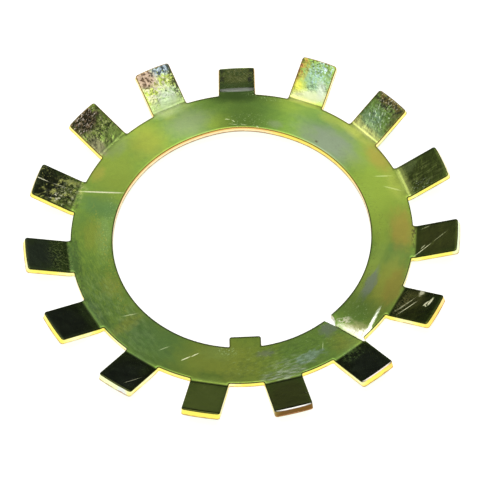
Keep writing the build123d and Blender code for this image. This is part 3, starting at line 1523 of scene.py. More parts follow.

# Marks on the tabs, one tab after the other, and then on the ring, among them painted highlights and
# painted shade along folds, on blots and over whole tabs
MARKS_AND_PAINTED_LIGHT: tuple[Patch, ...] = (
    # Lowered tab: scored both ways, with a painted highlight along its fold
    patch(0, 0.3, 41, 8, 9, 0, (0.34, 0.42, 0.07), 0.7),
    blots(0, 0.6, 41.5, 6, 5, 40, (0.80, 0.85, 0.30), 0.6, cell=0.3, cover=0.4, stretch=5),
    blots(0, -1, 41, 6, 6, -35, (0.75, 0.82, 0.30), 0.5, cell=0.3, cover=0.4, stretch=5),
    blots(0, 0, 42.6, 3, 7, 0, MOSS, 0.7, cell=0.5, cover=0.4),
    blots(0, 3.2, 40, 9, 1.8, 0, INK, 0.85, cell=0.7, cover=0.55),
    blots(0, -3.3, 41, 8, 1.6, 0, INK, 0.7, cell=0.7, cover=0.5),
    patch(0, 0, 37.4, 2.4, 8.6, 0, MOSS, 0.7, edge=1.2),
    # Painted highlight along the fold
    patch(0, 0, 36, 1, 8.8, 0, (0.95, 1.0, 0.9), 0.8, ragged=0.15, rough=1),
    # First raised tab
    patch(1, 0, 40.5, 12, 9, 0, (0.25, 0.38, 0.06), 0.95, ragged=0.2),
    patch(1, 0.6, 39.6, 6, 5.2, 20, (0.34, 0.54, 0.32), 0.8, edge=1.2, rough=0.2),
    blots(1, 1, 41.2, 6, 5, 0, (0.40, 0.62, 0.56), 0.85, rough=0.4, cell=0.5, cover=0.38),
    blots(1, 1.5, 42.6, 4, 3.4, 0, (0.74, 0.90, 1.0), 0.9, rough=0.3, cell=0.4, cover=0.26),
    blots(1, 0.2, 43, 5.5, 3.4, 90, INK, 0.85, cell=0.4, cover=0.36),
    blots(1, 1.5, 41, 5, 4.6, 60, MOSS, 0.8, cell=0.36, cover=0.36),
    blots(1, -3, 40.6, 9, 2.2, 0, (0.42, 0.38, 0.07), 0.9, cell=0.7, cover=0.6),
    blots(1, -3.4, 41.4, 8, 1.3, 0, (0.42, 0.17, 0.06), 0.9, cell=0.5, cover=0.5),
    patch(1, -2.8, 37.2, 3.4, 3.2, 0, (0.70, 0.72, 0.10), 0.75, edge=1.4, rough=0.1),
    # Painted highlight along the fold
    patch(1, 0.6, 36.3, 2.2, 8.4, 11, (0.92, 0.98, 0.58), 0.8, edge=1.4, rough=0.6),
    patch(1, 2.4, 38, 3.4, 1.8, 20, (0.82, 0.92, 0.72), 0.7, edge=1.3, rough=0.6),
    # Painted highlight across the root, onto the ring
    patch(1, -1, 35, 1.6, 9, 0, (0.80, 0.85, 0.14), 0.5, edge=1.4),
    # Second
    patch(2, 0, 39.5, 9, 9, 0, (0.18, 0.30, 0.065), 0.9),
    patch(2, -0.8, 38.4, 3.6, 4, 0, (0.26, 0.42, 0.26), 0.7, edge=1.2),
    blots(2, 0.2, 39.8, 6.5, 7, 35, MOSS, 0.7, cell=0.5, cover=0.45),
    # Pale blots painted as highlights of the press mottling, their facets also turned towards the light
    blots(2, 0.2, 39.2, 6, 6, 35, SILVER, 0.5, rough=0.5, cell=0.3, cover=0.24, stretch=2.6, lit=0.3),
    blots(2, 0.6, 39.4, 6.5, 6, -40, (0.50, 0.68, 0.34), 0.5, rough=0.4, cell=0.3, cover=0.3, stretch=3),
    patch(2, 0.3, 43.4, 3.6, 8.6, 0, (0.15, 0.10, 0.03), 0.9, ragged=0.7),
    patch(2, 3.3, 41, 7, 1.6, 0, (0.11, 0.11, 0.03), 0.7, ragged=0.7),
    blots(2, 0, 42.8, 4, 8, 0, INK, 0.9, cell=0.5, cover=0.42),
    blots(2, -0.6, 43.2, 3, 6, 0, CREAM, 0.45, rough=0.9, cell=0.3, cover=0.3),
    # Painted highlight at the corner of the root
    patch(2, -3.2, 36.2, 1.8, 2, 0, LEMON, 0.9, rough=0.5),
    patch(2, 0.2, 36.6, 1.8, 8.4, 0, (0.36, 0.52, 0.22), 0.7, edge=1.4, rough=0.2),
    # Painted highlight along the fold
    patch(2, 0.2, 35.6, 1.7, 8.8, 0, (0.90, 0.95, 0.30), 0.8, edge=1.4, rough=0.4),
    # Third
    patch(3, 0, 40.5, 11, 9, 0, (0.16, 0.22, 0.04), 0.9, ragged=0.2),
    patch(3, -2.8, 37.2, 3.6, 3, 0, (0.30, 0.40, 0.12), 0.7, rough=0.5),
    blots(3, 0.8, 39.2, 9, 5, 0, (0.42, 0.52, 0.14), 0.6, rough=0.3, cell=0.4, cover=0.36, stretch=6),
    # Pale blots painted as highlights of the press mottling, their facets also turned towards the light
    blots(3, 2.6, 37.8, 4.5, 2.4, 0, SILVER, 0.5, rough=0.6, cell=0.26, cover=0.26, stretch=2.5, lit=0.2),
    # Painted highlight along the fold
    patch(3, 0, 35.5, 1.5, 8.8, 0, (0.85, 1.0, 0.25), 0.75, edge=1.3, rough=0.5),
    # Fourth and fifth, next to the cracked one
    patch(4, 0, 39.6, 9, 8, 0, (0.42, 0.48, 0.10), 0.8, rough=0.15),
    patch(5, 0, 38.6, 6, 7.6, 0, (0.42, 0.46, 0.08), 0.6, rough=0.15),
    patch(5, -1.6, 38.2, 4.6, 4.6, 0, (0.60, 0.60, 0.16), 0.55, rough=0.45),
    # Small pale place painted as a highlight, its facets also turned towards the light
    patch(5, -3.3, 39.1, 1, 1.7, 0, CREAM, 0.95, rough=1, lit=0.4),
    blots(5, 0.5, 36.5, 2, 6.5, 0, (0.45, 0.40, 0.16), 0.7, rough=0.8, cell=0.35, cover=0.5),
    # The cracked one, and those that follow
    # The cracked tab is painted dark as shade, for the dark that it reflects
    patch(6, 0, 41, 10, 9, 0, COAL, 0.8, ragged=0.2, edge=1.2, rough=0.18),
    blots(6, 0.4, 36.2, 2.6, 5, 0, (0.30, 0.50, 0.12), 0.9, rough=0.7, cell=0.6, sharp=0.15),
    patch(7, 0, 40.5, 11, 9, 0, (0.24, 0.26, 0.06), 0.75, ragged=0.2),
    patch(8, 0, 40.5, 11, 9, 0, (0.50, 0.68, 0.13), 0.97, ragged=0.2),
    # The ninth and tenth tabs are painted dark as shade too
    patch(9, 0, 41, 10, 9, 0, COAL, 0.8, ragged=0.2, edge=1.2, rough=0.1),
    patch(10, 0, 41, 10, 9, 0, COAL, 0.8, ragged=0.2, edge=1.2, rough=0.1),
    patch(10, 0, 35.9, 2.4, 8.4, 0, GREEN, 0.5, rough=0.5),
    # The eleventh tab is painted dark as shade too
    patch(11, 0, 41.8, 8, 9, 0, COAL, 0.8, ragged=0.3, edge=1.2),
    blots(11, -0.4, 37, 4.6, 8.4, 0, (0.28, 0.38, 0.10), 0.85, rough=0.8, cell=0.4, cover=0.42),
    # Twelfth: painted near black as shade, with pale blots across it
    patch(12, 0, 41.5, 9, 10, 0, INK, 0.95, ragged=0.2),
    # Pale blots painted as highlights of the press mottling, their facets also turned towards the light
    blots(12, -0.6, 38.4, 9.5, 5.4, 50, STRAW, 0.8, rough=0.9, cell=0.55, cover=0.36, stretch=2,
          sharp=0.12, lit=0.2),
    blots(12, 0.6, 36.8, 4.4, 8.4, 0, (0.48, 0.55, 0.18), 0.9, rough=0.7, cell=0.4, cover=0.42,
          sharp=0.08),
    # Cream blots painted as highlights, their facets also turned towards the light
    blots(12, -1.4, 38, 6, 4, 50, CREAM, 0.9, rough=1, cell=0.5, cover=0.26, stretch=1.6, sharp=0.1,
          lit=0.5),
    blots(12, -1.6, 37, 5, 5, 20, INK, 0.8, cell=0.6, cover=0.34, stretch=1.6),
    blots(12, 2, 42.4, 2.6, 3, 0, (0.50, 0.52, 0.14), 0.8, rough=0.8, cell=0.3, cover=0.34),
    # Painted shade along the fold
    patch(12, 0, 35.4, 0.6, 8.6, 0, (0.14, 0.20, 0.05), 0.7, edge=1.2, rough=0.4),
    # Thirteenth: brown and streaked at its tip, green at its root
    patch(13, 0, 39.5, 10, 9, 0, (0.24, 0.32, 0.06), 0.85, ragged=0.2),
    patch(13, 0.8, 36.4, 3.6, 6, 0, (0.36, 0.52, 0.11), 0.85, edge=1.2),
    patch(13, -2.7, 36.8, 4.4, 2.8, 0, (0.52, 0.46, 0.28), 0.7, rough=0.5),
    blots(13, 0, 39.3, 6, 8.4, 0, (0.55, 0.60, 0.22), 0.65, rough=0.8, cell=0.34, cover=0.42),
    blots(13, 0, 40, 6, 8.4, 0, INK, 0.8, cell=0.36, cover=0.42),
    patch(13, -0.5, 43, 5.4, 9.4, 0, (0.035, 0.025, 0.01), 0.97, ragged=0.6),
    blots(13, -1, 42.4, 9, 4.8, 100, (0.42, 0.30, 0.17), 0.7, rough=0.5, cell=0.28, cover=0.32,
          stretch=2.4),
    # Pale streaks painted as highlights, their facets also turned towards the light
    blots(13, -1.4, 42.4, 8, 4.2, 100, (1.0, 0.88, 0.72), 0.9, rough=0.9, cell=0.22, cover=0.2,
          stretch=2.6, lit=0.35),
    # Painted shade along the fold
    patch(13, 0, 35.45, 0.7, 8.6, 0, (0.14, 0.21, 0.05), 0.5, edge=1.2, rough=0.6),
    # Fourteenth: the brightest, blotted at its tip
    patch(14, 0, 40, 12, 9, 0, (0.56, 0.68, 0.14), 0.95, ragged=0.2),
    blots(14, 0, 39.4, 8, 7.5, 0, CREAM, 0.85, rough=0.6, cell=0.7, cover=0.5),
    patch(14, 0.9, 37.4, 3.6, 5, 20, (0.74, 0.90, 0.66), 0.75, rough=0.6),
    patch(14, -2.2, 42.4, 4.6, 4, 45, (0.78, 0.55, 0.42), 0.9, rough=0.6),
    blots(14, -1.8, 42.2, 5.4, 5, 45, SEPIA, 0.95, cell=0.55, cover=0.46),
    patch(14, 2, 43.2, 2.8, 4, 0, (0.62, 0.78, 0.92), 0.9, rough=0.6),
    blots(14, 1.9, 43, 3.4, 4.6, 0, NAVY, 0.95, cell=0.5, cover=0.52),
    blots(14, 3.3, 39.6, 8, 1.4, 0, INK, 0.9, cell=0.5, cover=0.6),
    blots(14, 1.2, 37.6, 3.4, 4.6, 40, MOSS, 0.7, cell=0.4, cover=0.34, stretch=3),
    blots(14, 1.6, 40.6, 4.4, 4.6, 20, (0.30, 0.36, 0.06), 0.8, cell=0.45, cover=0.3),
    patch(14, 0, 36, 2, 8.8, 0, (0.56, 0.74, 0.34), 0.7, edge=1.4, rough=0.5),
    # Painted shade along the fold
    patch(14, 0, 35.45, 0.7, 8.8, 0, (0.26, 0.36, 0.12), 0.5, edge=1.2, rough=0.6),
    # Rubbed places on the ring, and small ones at its rims
    specks(163, 32.2, 10, 3.4, SILVER, 0.35, rough=0.5, cell=0.35, cover=0.45, stretch=4, sharp=0.12),
    tone(156.5, 31.8, 5, 2, (0.42, 0.60, 0.50), 0.55, ragged=0.8, rough=0.4),
    specks(168, 34, 9, 2.2, SILVER, 0.55, rough=0.5, cell=0.35, cover=0.5, stretch=5, sharp=0.12),
    specks(250, 30.5, 26, 9, LIME, 0.25, rough=0.3, cell=0.25, cover=0.4, stretch=5),
    specks(150, 28.6, 20, 6, PALE, 0.35, rough=0.4, cell=0.34, cover=0.16),
    specks(188, 27.2, 4, 2, PALE, 0.6, rough=0.5, cell=0.3, cover=0.3),
    specks(131, 29.5, 6, 6, PALE, 0.4, rough=0.4, cell=0.34, cover=0.16),
    specks(276, 27.2, 18, 2.6, PALE, 0.35, rough=0.4, cell=0.3, cover=0.2),
    specks(66, 27, 30, 1.6, SEPIA, 0.3, cell=0.3, cover=0.24),
    specks(92, 34.9, 8, 1, SEPIA, 0.7, cell=0.4, cover=0.4),
    specks(105, 26.9, 20, 1.4, SEPIA, 0.35, cell=0.3, cover=0.24),
    specks(175, 30.5, 14, 8, PALE, 0.3, rough=0.3, cell=0.3, cover=0.16, stretch=3),
    specks(235, 30.5, 22, 9, PALE, 0.18, rough=0.2, cell=0.5, cover=0.4, stretch=3, sharp=0.2),
    specks(262, 34.2, 24, 2.4, (0.10, 0.17, 0.04), 0.55, cell=0.45, cover=0.42),
    specks(256, 27.3, 26, 2.2, OLIVE, 0.55, rough=0.2, cell=0.35, cover=0.3),
    specks(228, 31.2, 18, 7, (0.10, 0.20, 0.05), 0.32, cell=0.7, cover=0.4, stretch=1.8, sharp=0.1),
    specks(162, 30.3, 26, 8, (0.13, 0.23, 0.05), 0.35, cell=0.5, cover=0.4, stretch=2.4, sharp=0.1),
    specks(4, 28, 9, 4, PALE, 0.5, rough=0.4, cell=0.25, cover=0.16),
    specks(10, 34.6, 9, 2.4, PALE, 0.6, rough=0.5, cell=0.25, cover=0.2),
    tone(336, 34.4, 7, 2.2, (0.54, 0.70, 0.34), 0.5, ragged=0.3, edge=1.4, rough=0.3),
)

# Painted highlight on the end of the ring that has sprung up at the crack: pale patches, whose facets
# also turn towards the overhead light, with a duller patch and darker blots among them
SPRUNG_END_GLARE: tuple[Patch, ...] = (
    Patch(21.8, -24.2, 5.6, 3.8, -20, (0.50, 0.47, 0.22), 0.75, ragged=0.4, grain=0.4, edge=1.2,
          rough=0.3, lit=0.12),
    Patch(23.4, -26, 4, 3.6, -25, WHITE, 0.97, ragged=0.3, grain=0.3, rough=0.5, lit=0.8),
    Patch(21.4, -25.2, 6.6, 2.5, -40, (0.96, 0.94, 0.80), 0.9, ragged=0.4, grain=0.3, edge=1.1,
          rough=0.5, lit=0.36),
    Mottles(22.6, -24.8, 4, 3.6, 66, (0.30, 0.32, 0.14), 0.6, rough=0.3, cell=0.22, cover=0.36,
            stretch=5),
    Patch(24, -25.4, 4.6, 1, 66, WHITE, 1, ragged=0.3, grain=0.25, edge=0.6, rough=0.4, lit=0.9),
    Patch(25.5, -21.9, 5.6, 0.6, 63, (0.97, 1.0, 0.86), 0.9, ragged=0.6, grain=0.3, edge=1.1, rough=0.4,
          lit=0.5),
    Mottles(19.2, -21.9, 3.6, 1.9, 20, CREAM, 0.8, rough=0.8, cell=0.5, cover=0.45),
)

# Colours on the rolled edges only, laid over their painted shade: golden on the half towards the lowered
# tab, a tint along one stretch of the bore's rim, painted highlights along the tips of the seventh and
# sixth tabs, and grey at the tip of the lowered tab
EDGE_TINTS_AND_GLINTS: tuple[Patch, ...] = (
    Patch(0, 28, 64, 60, 0, (0.72, 0.44, 0.10), 1, ragged=0, edge=0.5, rough=0.3),
    tone(42, 26.2, 26, 4, (0.55, 0.50, 0.05), 0.9, ragged=0.1, edge=0.7, rough=0.3),
    # Painted highlights along the rolled tips of the seventh and sixth tabs, their facets also turned
    # towards the light
    patch(7, -0.3, 44, 1.6, 9, 0, (1.0, 0.98, 0.95), 1, ragged=0.1, rough=0.6, lit=0.8),
    patch(6, 0, 44, 1.6, 9, 0, (1.0, 0.85, 0.78), 1, ragged=0.2, rough=0.6, lit=0.8),
    patch(0, 0, 44, 1.6, 7, 0, (0.6, 0.6, 0.5), 0.8, ragged=0.4, rough=0.8),
)

# Scratches on the ring, and then on the tabs
SCRATCHES: tuple[Scratch, ...] = (
    Scratch(-34.6, 12.1, -22.6, 11.45, 0.20, 1),
    Scratch(-13, -29, -10.6, -27.9, 0.16, 0.8),
    Scratch(-11, -28.2, -9, -27.2, 0.13, 0.7),
    Scratch(-25, -18.3, -20.8, -17.4, 0.14, 0.3),
    Scratch(-17.5, -26.5, -14.5, -25.3, 0.12, 0.3),
    Scratch(-2.9, 28.6, -1.4, 28.4, 0.12, 0.5),
    Scratch(-1.4, 28.4, -0.5, 27.6, 0.12, 0.5),
    Scratch(-2.2, 27.4, 0.2, 26.9, 0.10, 0.4),
    Scratch(0.4, 27, 2, 26.8, 0.12, 0.4),
    Scratch(3.7, 26.6, 4.3, 26.1, 0.16, 0.5),
    Scratch(26.9, 12.8, 31.8, 12.5, 0.20, 0.2),
    Scratch(28.8, 10.4, 33.4, 8.6, 0.20, 0.2),
    Scratch(15.4, -25.6, 15.2, -28.2, 0.08, 0.35),
    scratch(4, -1.8, 42.2, 1.2, 38.2, 0.16, 0.4),
    scratch(4, 0.6, 39, 3.9, 34.6, 0.17, 0.7),
    scratch(4, -3.3, 38.4, -2.6, 35.8, 0.12, 0.5),
    scratch(4, 1, 37.4, 2.2, 36.2, 0.14, 0.6),
    scratch(5, -3.1, 41.95, -0.1, 41.57, 0.34, 1),
    scratch(5, -1.9, 41.5, 0, 40.68, 0.26, 1),
    scratch(5, -0.1, 41.6, -0.6, 40.9, 0.22, 0.9),
    scratch(5, -2, 39.7, 3.9, 36.4, 0.14, 0.8),
    scratch(5, -2.6, 38.9, 3.4, 35.6, 0.14, 0.7),
    scratch(5, -0.5, 37.6, 3.4, 35.4, 0.12, 0.5),
    scratch(7, -3.6, 40.4, -2.9, 39.8, 0.14, 0.5),
    scratch(9, -3.4, 38.2, -0.9, 43.4, 0.13, 0.6),
    scratch(12, 0.3, 45, 0.4, 40.6, 0.15, 0.9),
    scratch(12, 0.4, 41, 0.9, 37, 0.12, 0.5),
)


@dataclass(frozen=True)
class PlatedFace:
    """Both faces of the sheet: zinc with a yellow passivate film, stained and scratched.

    Each finish covers the part between two distances from the axis, and holds the marks that reach into
    it, painted highlights and shade among them. The upper part and the roll are given in shares of the
    sheet's thickness, and the depths of the relief in millimetres. The colour of the roll is painted
    shade. Specks are smooth steps of one grain, and the haze is the roughness of the film.
    """

    inner: float
    outer: float
    overlap: float = 1.2
    upper_part: tuple[float, float] = (0.4, 0.7)
    roll_part: tuple[float, float] = (0.9998, 0.988)
    roll_strength: float = 0.95
    drift: Grain = Grain(14.0, 2.0, 1.0, 0.42, 0.62, 0.1, 0.6)
    clouding: Grain = Grain(4.0, 4.0, 2.0, 0.5, 0.75, 0.0, 0.45)
    pale_specks: tuple[float, ...] = (0.45, 0.7, 0.0, 0.2)
    dark_specks: tuple[float, ...] = (0.5, 0.32, 0.0, 0.25)
    gaps: Grain = Grain(1.1, 3.0, 9.0, 0.3, 0.5, 0.5, 1.0)
    haze: Grain = Grain(1.6, 3.0, 6.0, 0.3, 0.75, 0.10, 0.18)
    unevenness: Grain = Grain(2.2, 3.0, 10.0, 0.35, 0.65, 0.3, 1.5)
    press_relief: float = 0.6
    least_relief: float = 0.02
    broad_depth: float = 0.30
    dent_depth: float = 0.06
    worn_roughness: float = 0.55
    coat: float = 0.28
    ring_edge: float = 34.4
    tab_start: float = 36.2
    # Painted shade: the roll of the upper face is darkened to near black
    rolled: Colour = (0.10, 0.11, 0.02)
    facet: tuple[float, float, float] = (0.0, -0.23, 0.97)
    scratch_lit: float = 0.6
    wear_and_sheen_paling: float = 0.04
    tones_and_painted_light: tuple[Patch, ...] = RING_TONES_AND_PAINTED_LIGHT
    marks: tuple[Patch, ...] = MARKS_AND_PAINTED_LIGHT
    sprung_end_glare: tuple[Patch, ...] = SPRUNG_END_GLARE
    edge_tints_and_glints: tuple[Patch, ...] = EDGE_TINTS_AND_GLINTS
    scratches: tuple[Scratch, ...] = SCRATCHES

    def film(self, paint: Paint) -> Socket:
        """Colour of the passivate film without its stains.

        Args:
            paint: the finish.

        Returns:
            The colour.
        """
        colour = paint.mix(self.drift.share(paint), GREEN, LIME)
        colour = paint.mix(self.clouding.share(paint), colour, TEAL)
        # One fine grain makes both the paler and the darker specks
        grain = paint.noise(cell=0.9, detail=5.0, seed=31.0)
        colour = paint.mix(paint.range(grain, *self.pale_specks), colour, LIME)
        return paint.mix(paint.range(grain, *self.dark_specks), colour, MOSS)

    def here(self, marks: tuple[Patch | Scratch, ...]) -> list[Patch | Scratch]:
        """Those of the marks that reach into this part of the face."""
        inner, outer = self.inner - self.overlap, self.outer + self.overlap
        return [mark for mark in marks if mark.reach()[1] > inner and mark.reach()[0] < outer]

    def marked(self, paint: Paint, upper: object, sprung: object) -> tuple[object, ...]:
        """Lays the tones, the stains, the rubbed places and the painted highlights and shade over the
        film.

        Args:
            paint: the finish.
            upper: 1 on the upper side of the sheet and 0 on its underside.
            sprung: the same past the crack, and 0 elsewhere.

        Returns:
            The colour, the share of the rubbed places and how far their facets are lit.
        """
        colour, worn, lit = self.film(paint), 0.0, 0.0
        for ring_patch in self.here(self.tones_and_painted_light):
            share = paint.maths("MULTIPLY", ring_patch.share(paint), upper)
            colour = paint.mix(share, colour, ring_patch.colour)
        for marks, side in ((self.marks, upper), (self.sprung_end_glare, sprung)):
            for mark in self.here(marks):
                share = paint.maths("MULTIPLY", mark.share(paint), side)
                colour = paint.mix(share, colour, mark.colour)
                worn = paint.blend(share, worn, mark.rough)
                if mark.lit:
                    lit = paint.blend(share, lit, mark.lit)
        return colour, worn, lit

    def scratched(self, paint: Paint, upper: object) -> Socket:
        """How much of the scratches shows at a point, with small gaps in them.

        Args:
            paint: the finish.
            upper: 1 on the upper side of the sheet and 0 on its underside.

        Returns:
            The share.
        """
        lines = 0.0
        for line in self.here(self.scratches):
            lines = paint.maths("MAXIMUM", lines, line.share(paint))
        gaps = self.gaps.share(paint)
        return paint.maths("MULTIPLY", paint.maths("MULTIPLY", lines, upper), gaps)

    def dress(self, material: bpy.types.Material) -> None:
        """Builds the finish into a material.

        Args:
            material: the material.
        """
        paint = Paint(material)
        away = paint.nearness(paint.local(0.0, 0.0, 0.0, FAR, FAR))
        on_tab = paint.range(away, 1 - self.ring_edge / FAR, 1 - self.tab_start / FAR)
        depth = paint.known("sheet_depth")
        upper = paint.range(depth, *self.upper_part)
        sprung = paint.maths("MULTIPLY", paint.known("past_crack"), upper)
        colour, worn, lit = self.marked(paint, upper, sprung)
        lines = self.scratched(paint, upper)
        colour = paint.mix(lines, colour, CREAM)
        # The roll of the upper face is painted near black as shade, and the edge colours are laid over it
        roll = paint.range(depth, *self.roll_part, 0.0, self.roll_strength)
        rolled = paint.maths("MULTIPLY", roll, upper)
        colour = paint.mix(rolled, colour, self.rolled)
        for mark in self.here(self.edge_tints_and_glints):
            share = paint.maths("MULTIPLY", mark.share(paint), rolled)
            colour = paint.mix(share, colour, mark.colour)
            worn = paint.blend(share, worn, mark.rough)
            lit = paint.blend(share, lit, mark.lit)
        mottle = paint.maths("MULTIPLY", on_tab, paint.known("tab_mottle"))
        worn = paint.maths("MAXIMUM", worn, lines)
        lit = paint.maths("MAXIMUM", lit, paint.maths("MULTIPLY", lines, self.scratch_lit))
        # Worn places are a little paler too, and the lit facets get a little painted highlight
        paled_by_wear_and_sheen = paint.maths("MULTIPLY", paint.maths("ADD", worn, lit), self.wear_and_sheen_paling)
        self.finish(paint, paint.mix(paled_by_wear_and_sheen, colour, CREAM), mottle, worn, lit)

    def finish(self, paint: Paint, colour: object, mottle: object, worn: object,
               lit: object) -> None:
        """Sets the colour, the roughness and the relief of the shader.

        Args:
            paint: the finish.
            colour: colour of the film with its marks.
            mottle: share of the mottling that the press left on the tabs.
            worn: share of the rubbed places and scratches.
            lit: how far the facets of the marks turn the normal.
        """
        haze = self.haze.share(paint)
        uneven = self.unevenness.share(paint)
        strength = paint.maths("MULTIPLY_ADD", paint.maths("MULTIPLY", mottle, uneven),
                               self.press_relief, self.least_relief)
        waves = paint.noise(cell=2.0, detail=4.0, seed=7.0)
        broad = paint.bump(waves, self.broad_depth, strength)
        dents = paint.noise(cell=0.5, detail=3.0, seed=8.0)
        dented = paint.bump(dents, self.dent_depth, strength, broad)
        roughness = paint.blend(worn, haze, self.worn_roughness)
        paint.surface(colour, roughness, paint.turned(lit, dented, self.facet))
        paint.shader.inputs["Coat Weight"].default_value = self.coat
        paint.shader.inputs["Coat Roughness"].default_value = self.worn_roughness


@dataclass(frozen=True)
class PunchedWall:
    """Sheared walls: bright golden above, with a brown torn zone in their lower part.

    Heights, and the height over which the tear fades out, are shares of the wall.
    """

    pale: Colour = (1.0, 0.96, 0.50)
    torn: Colour = (0.62, 0.33, 0.14)
    tear_height: float = 0.22
    tear_fade: float = 0.12
    tear_wave: float = 0.4
    tear_strength: float = 0.8
    roughness: float = 0.28
    torn_roughness: float = 0.5
    streak_depth: float = 0.02
    streak_strength: float = 0.6
    paling: Grain = Grain(5.0, 2.0, 12.0, 0.45, 0.7)
    lip: Colour = (0.85, 0.47, 0.12)
    lip_part: tuple[float, float] = (0.60, 0.72)
    bore_tear: float = 0.10
    bore: Patch = Patch(0.0, 0.0, 60, 60, 0, (0.94, 0.74, 0.45), 0.9, ragged=0.0, edge=0.1)
    golden: Patch = Patch.on_ring(38, 26.2, 26, 6, (1.0, 0.74, 0.10), 0.95, ragged=0.1, edge=0.7)
    torn_tones: tuple[Patch, ...] = (
        Patch(36.0, 30.0, 60, 40, 45, (0.10, 0.05, 0.05), 0.95, ragged=0.1),
        Patch(0.0, 0.0, 60, 60, 0, (0.36, 0.19, 0.13), 1.0, ragged=0.0, edge=0.1),
    )
    tones: tuple[Patch, ...] = (
        Patch(10.0, -43.5, 14, 4, 10, (0.15, 0.065, 0.015), 0.97, 0.1),
        Patch(30.0, -31.0, 8, 3, 48, (1.0, 0.55, 0.10), 0.7, 0.3),
        Patch(38.5, -21.0, 10, 3, 65, (1.0, 0.60, 0.12), 0.6, 0.3),
        Patch(-27.0, -34.0, 10, 4, -35, (0.85, 0.95, 0.55), 0.9, 0.2),
        Patch(-24.6, -37.2, 2.4, 2.0, -35, (0.75, 0.78, 0.80), 0.9, 0.3),
        Patch(43.5, -4.0, 10, 2.5, 84, (0.78, 0.92, 0.62), 0.9, 0.2),
    )

    def dress(self, material: bpy.types.Material) -> None:
        """Builds the finish into a material.

        Args:
            material: the material.
        """
        paint = Paint(material)
        depth = paint.known("sheet_depth")
        wave = paint.maths("MULTIPLY_ADD", paint.noise(cell=1.4, detail=3.0, seed=11.0),
                           self.tear_wave, -self.tear_wave / 2)
        edge = paint.maths("ADD", depth, wave)
        colour = paint.mix(self.paling.share(paint), GOLD, self.pale)
        for tint in self.tones:
            colour = paint.mix(tint.share(paint), colour, tint.colour)
        bore = self.bore.share(paint)
        colour = paint.mix(bore, colour, self.bore.colour)
        lip = paint.maths("MULTIPLY", paint.range(depth, *self.lip_part), bore)
        colour = paint.mix(lip, colour, self.lip)
        colour = paint.mix(self.golden.share(paint), colour, self.golden.colour)
        edge = paint.maths("MULTIPLY_ADD", bore, -self.bore_tear, edge)
        tear = paint.range(edge, self.tear_height, self.tear_height - self.tear_fade)
        torn = self.torn
        for tint in self.torn_tones:
            torn = paint.mix(tint.share(paint), torn, tint.colour)
        colour = paint.mix(paint.maths("MULTIPLY", tear, self.tear_strength), colour, torn)
        streak = paint.noise(cell=0.16, detail=2.0, seed=13.0, place=paint.plan)
        roughness = paint.blend(tear, self.roughness, self.torn_roughness)
        relief = paint.bump(streak, self.streak_depth, self.streak_strength)
        paint.surface(colour, roughness, relief)


@dataclass(frozen=True)
class BrokenWall:
    """Walls of the chip and of the crack: granular fracture with traces of the film.

    The roughness is a smooth step of the grain that also makes the relief.
    """

    bare: Colour = (0.72, 0.72, 0.66)
    tinted: Colour = (0.85, 0.78, 0.42)
    tint: Grain = Grain(0.9, 2.0, 22.0, 0.4, 0.65)
    roughness: tuple[float, ...] = (0.3, 0.7, 0.42, 0.65)
    grain_depth: float = 0.08

    def dress(self, material: bpy.types.Material) -> None:
        """Builds the finish into a material.

        Args:
            material: the material.
        """
        paint = Paint(material)
        grain = paint.noise(cell=0.22, detail=4.0, seed=21.0)
        colour = paint.mix(self.tint.share(paint), self.bare, self.tinted)
        roughness = paint.range(grain, *self.roughness)
        paint.surface(colour, roughness, paint.bump(grain, self.grain_depth))


@dataclass
class Washer:
    """The whole washer: one sheet, folded and dressed."""

    sizes: WasherSizes = field(default_factory=WasherSizes)
    sharp_angle: float = 38.0

    def build(self) -> bpy.types.Object:
        """Builds the washer in place of its CAD solid.

        Returns:
            The finished piece.
        """
        finishes = {
            Wall.RING: PlatedFace(0.0, self.sizes.ring_radius),
            Wall.TAB: PlatedFace(self.sizes.ring_radius, FAR),
            Wall.PUNCHED: PunchedWall(),
            Wall.BROKEN: BrokenWall(),
        }
        materials = {}
        for wall, finish in finishes.items():
            materials[wall] = bpy.data.materials.new(f"plated_{wall.name.lower()}")
            finish.dress(materials[wall])
        blank = Blank(self.sizes).build()
        piece = TabFolds(self.sizes, materials).fold(blank, "washer_plated")
        piece.data.set_sharp_from_angle(angle=math.radians(self.sharp_angle))
        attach(piece, BODY)
        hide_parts(NODE)
        return piece


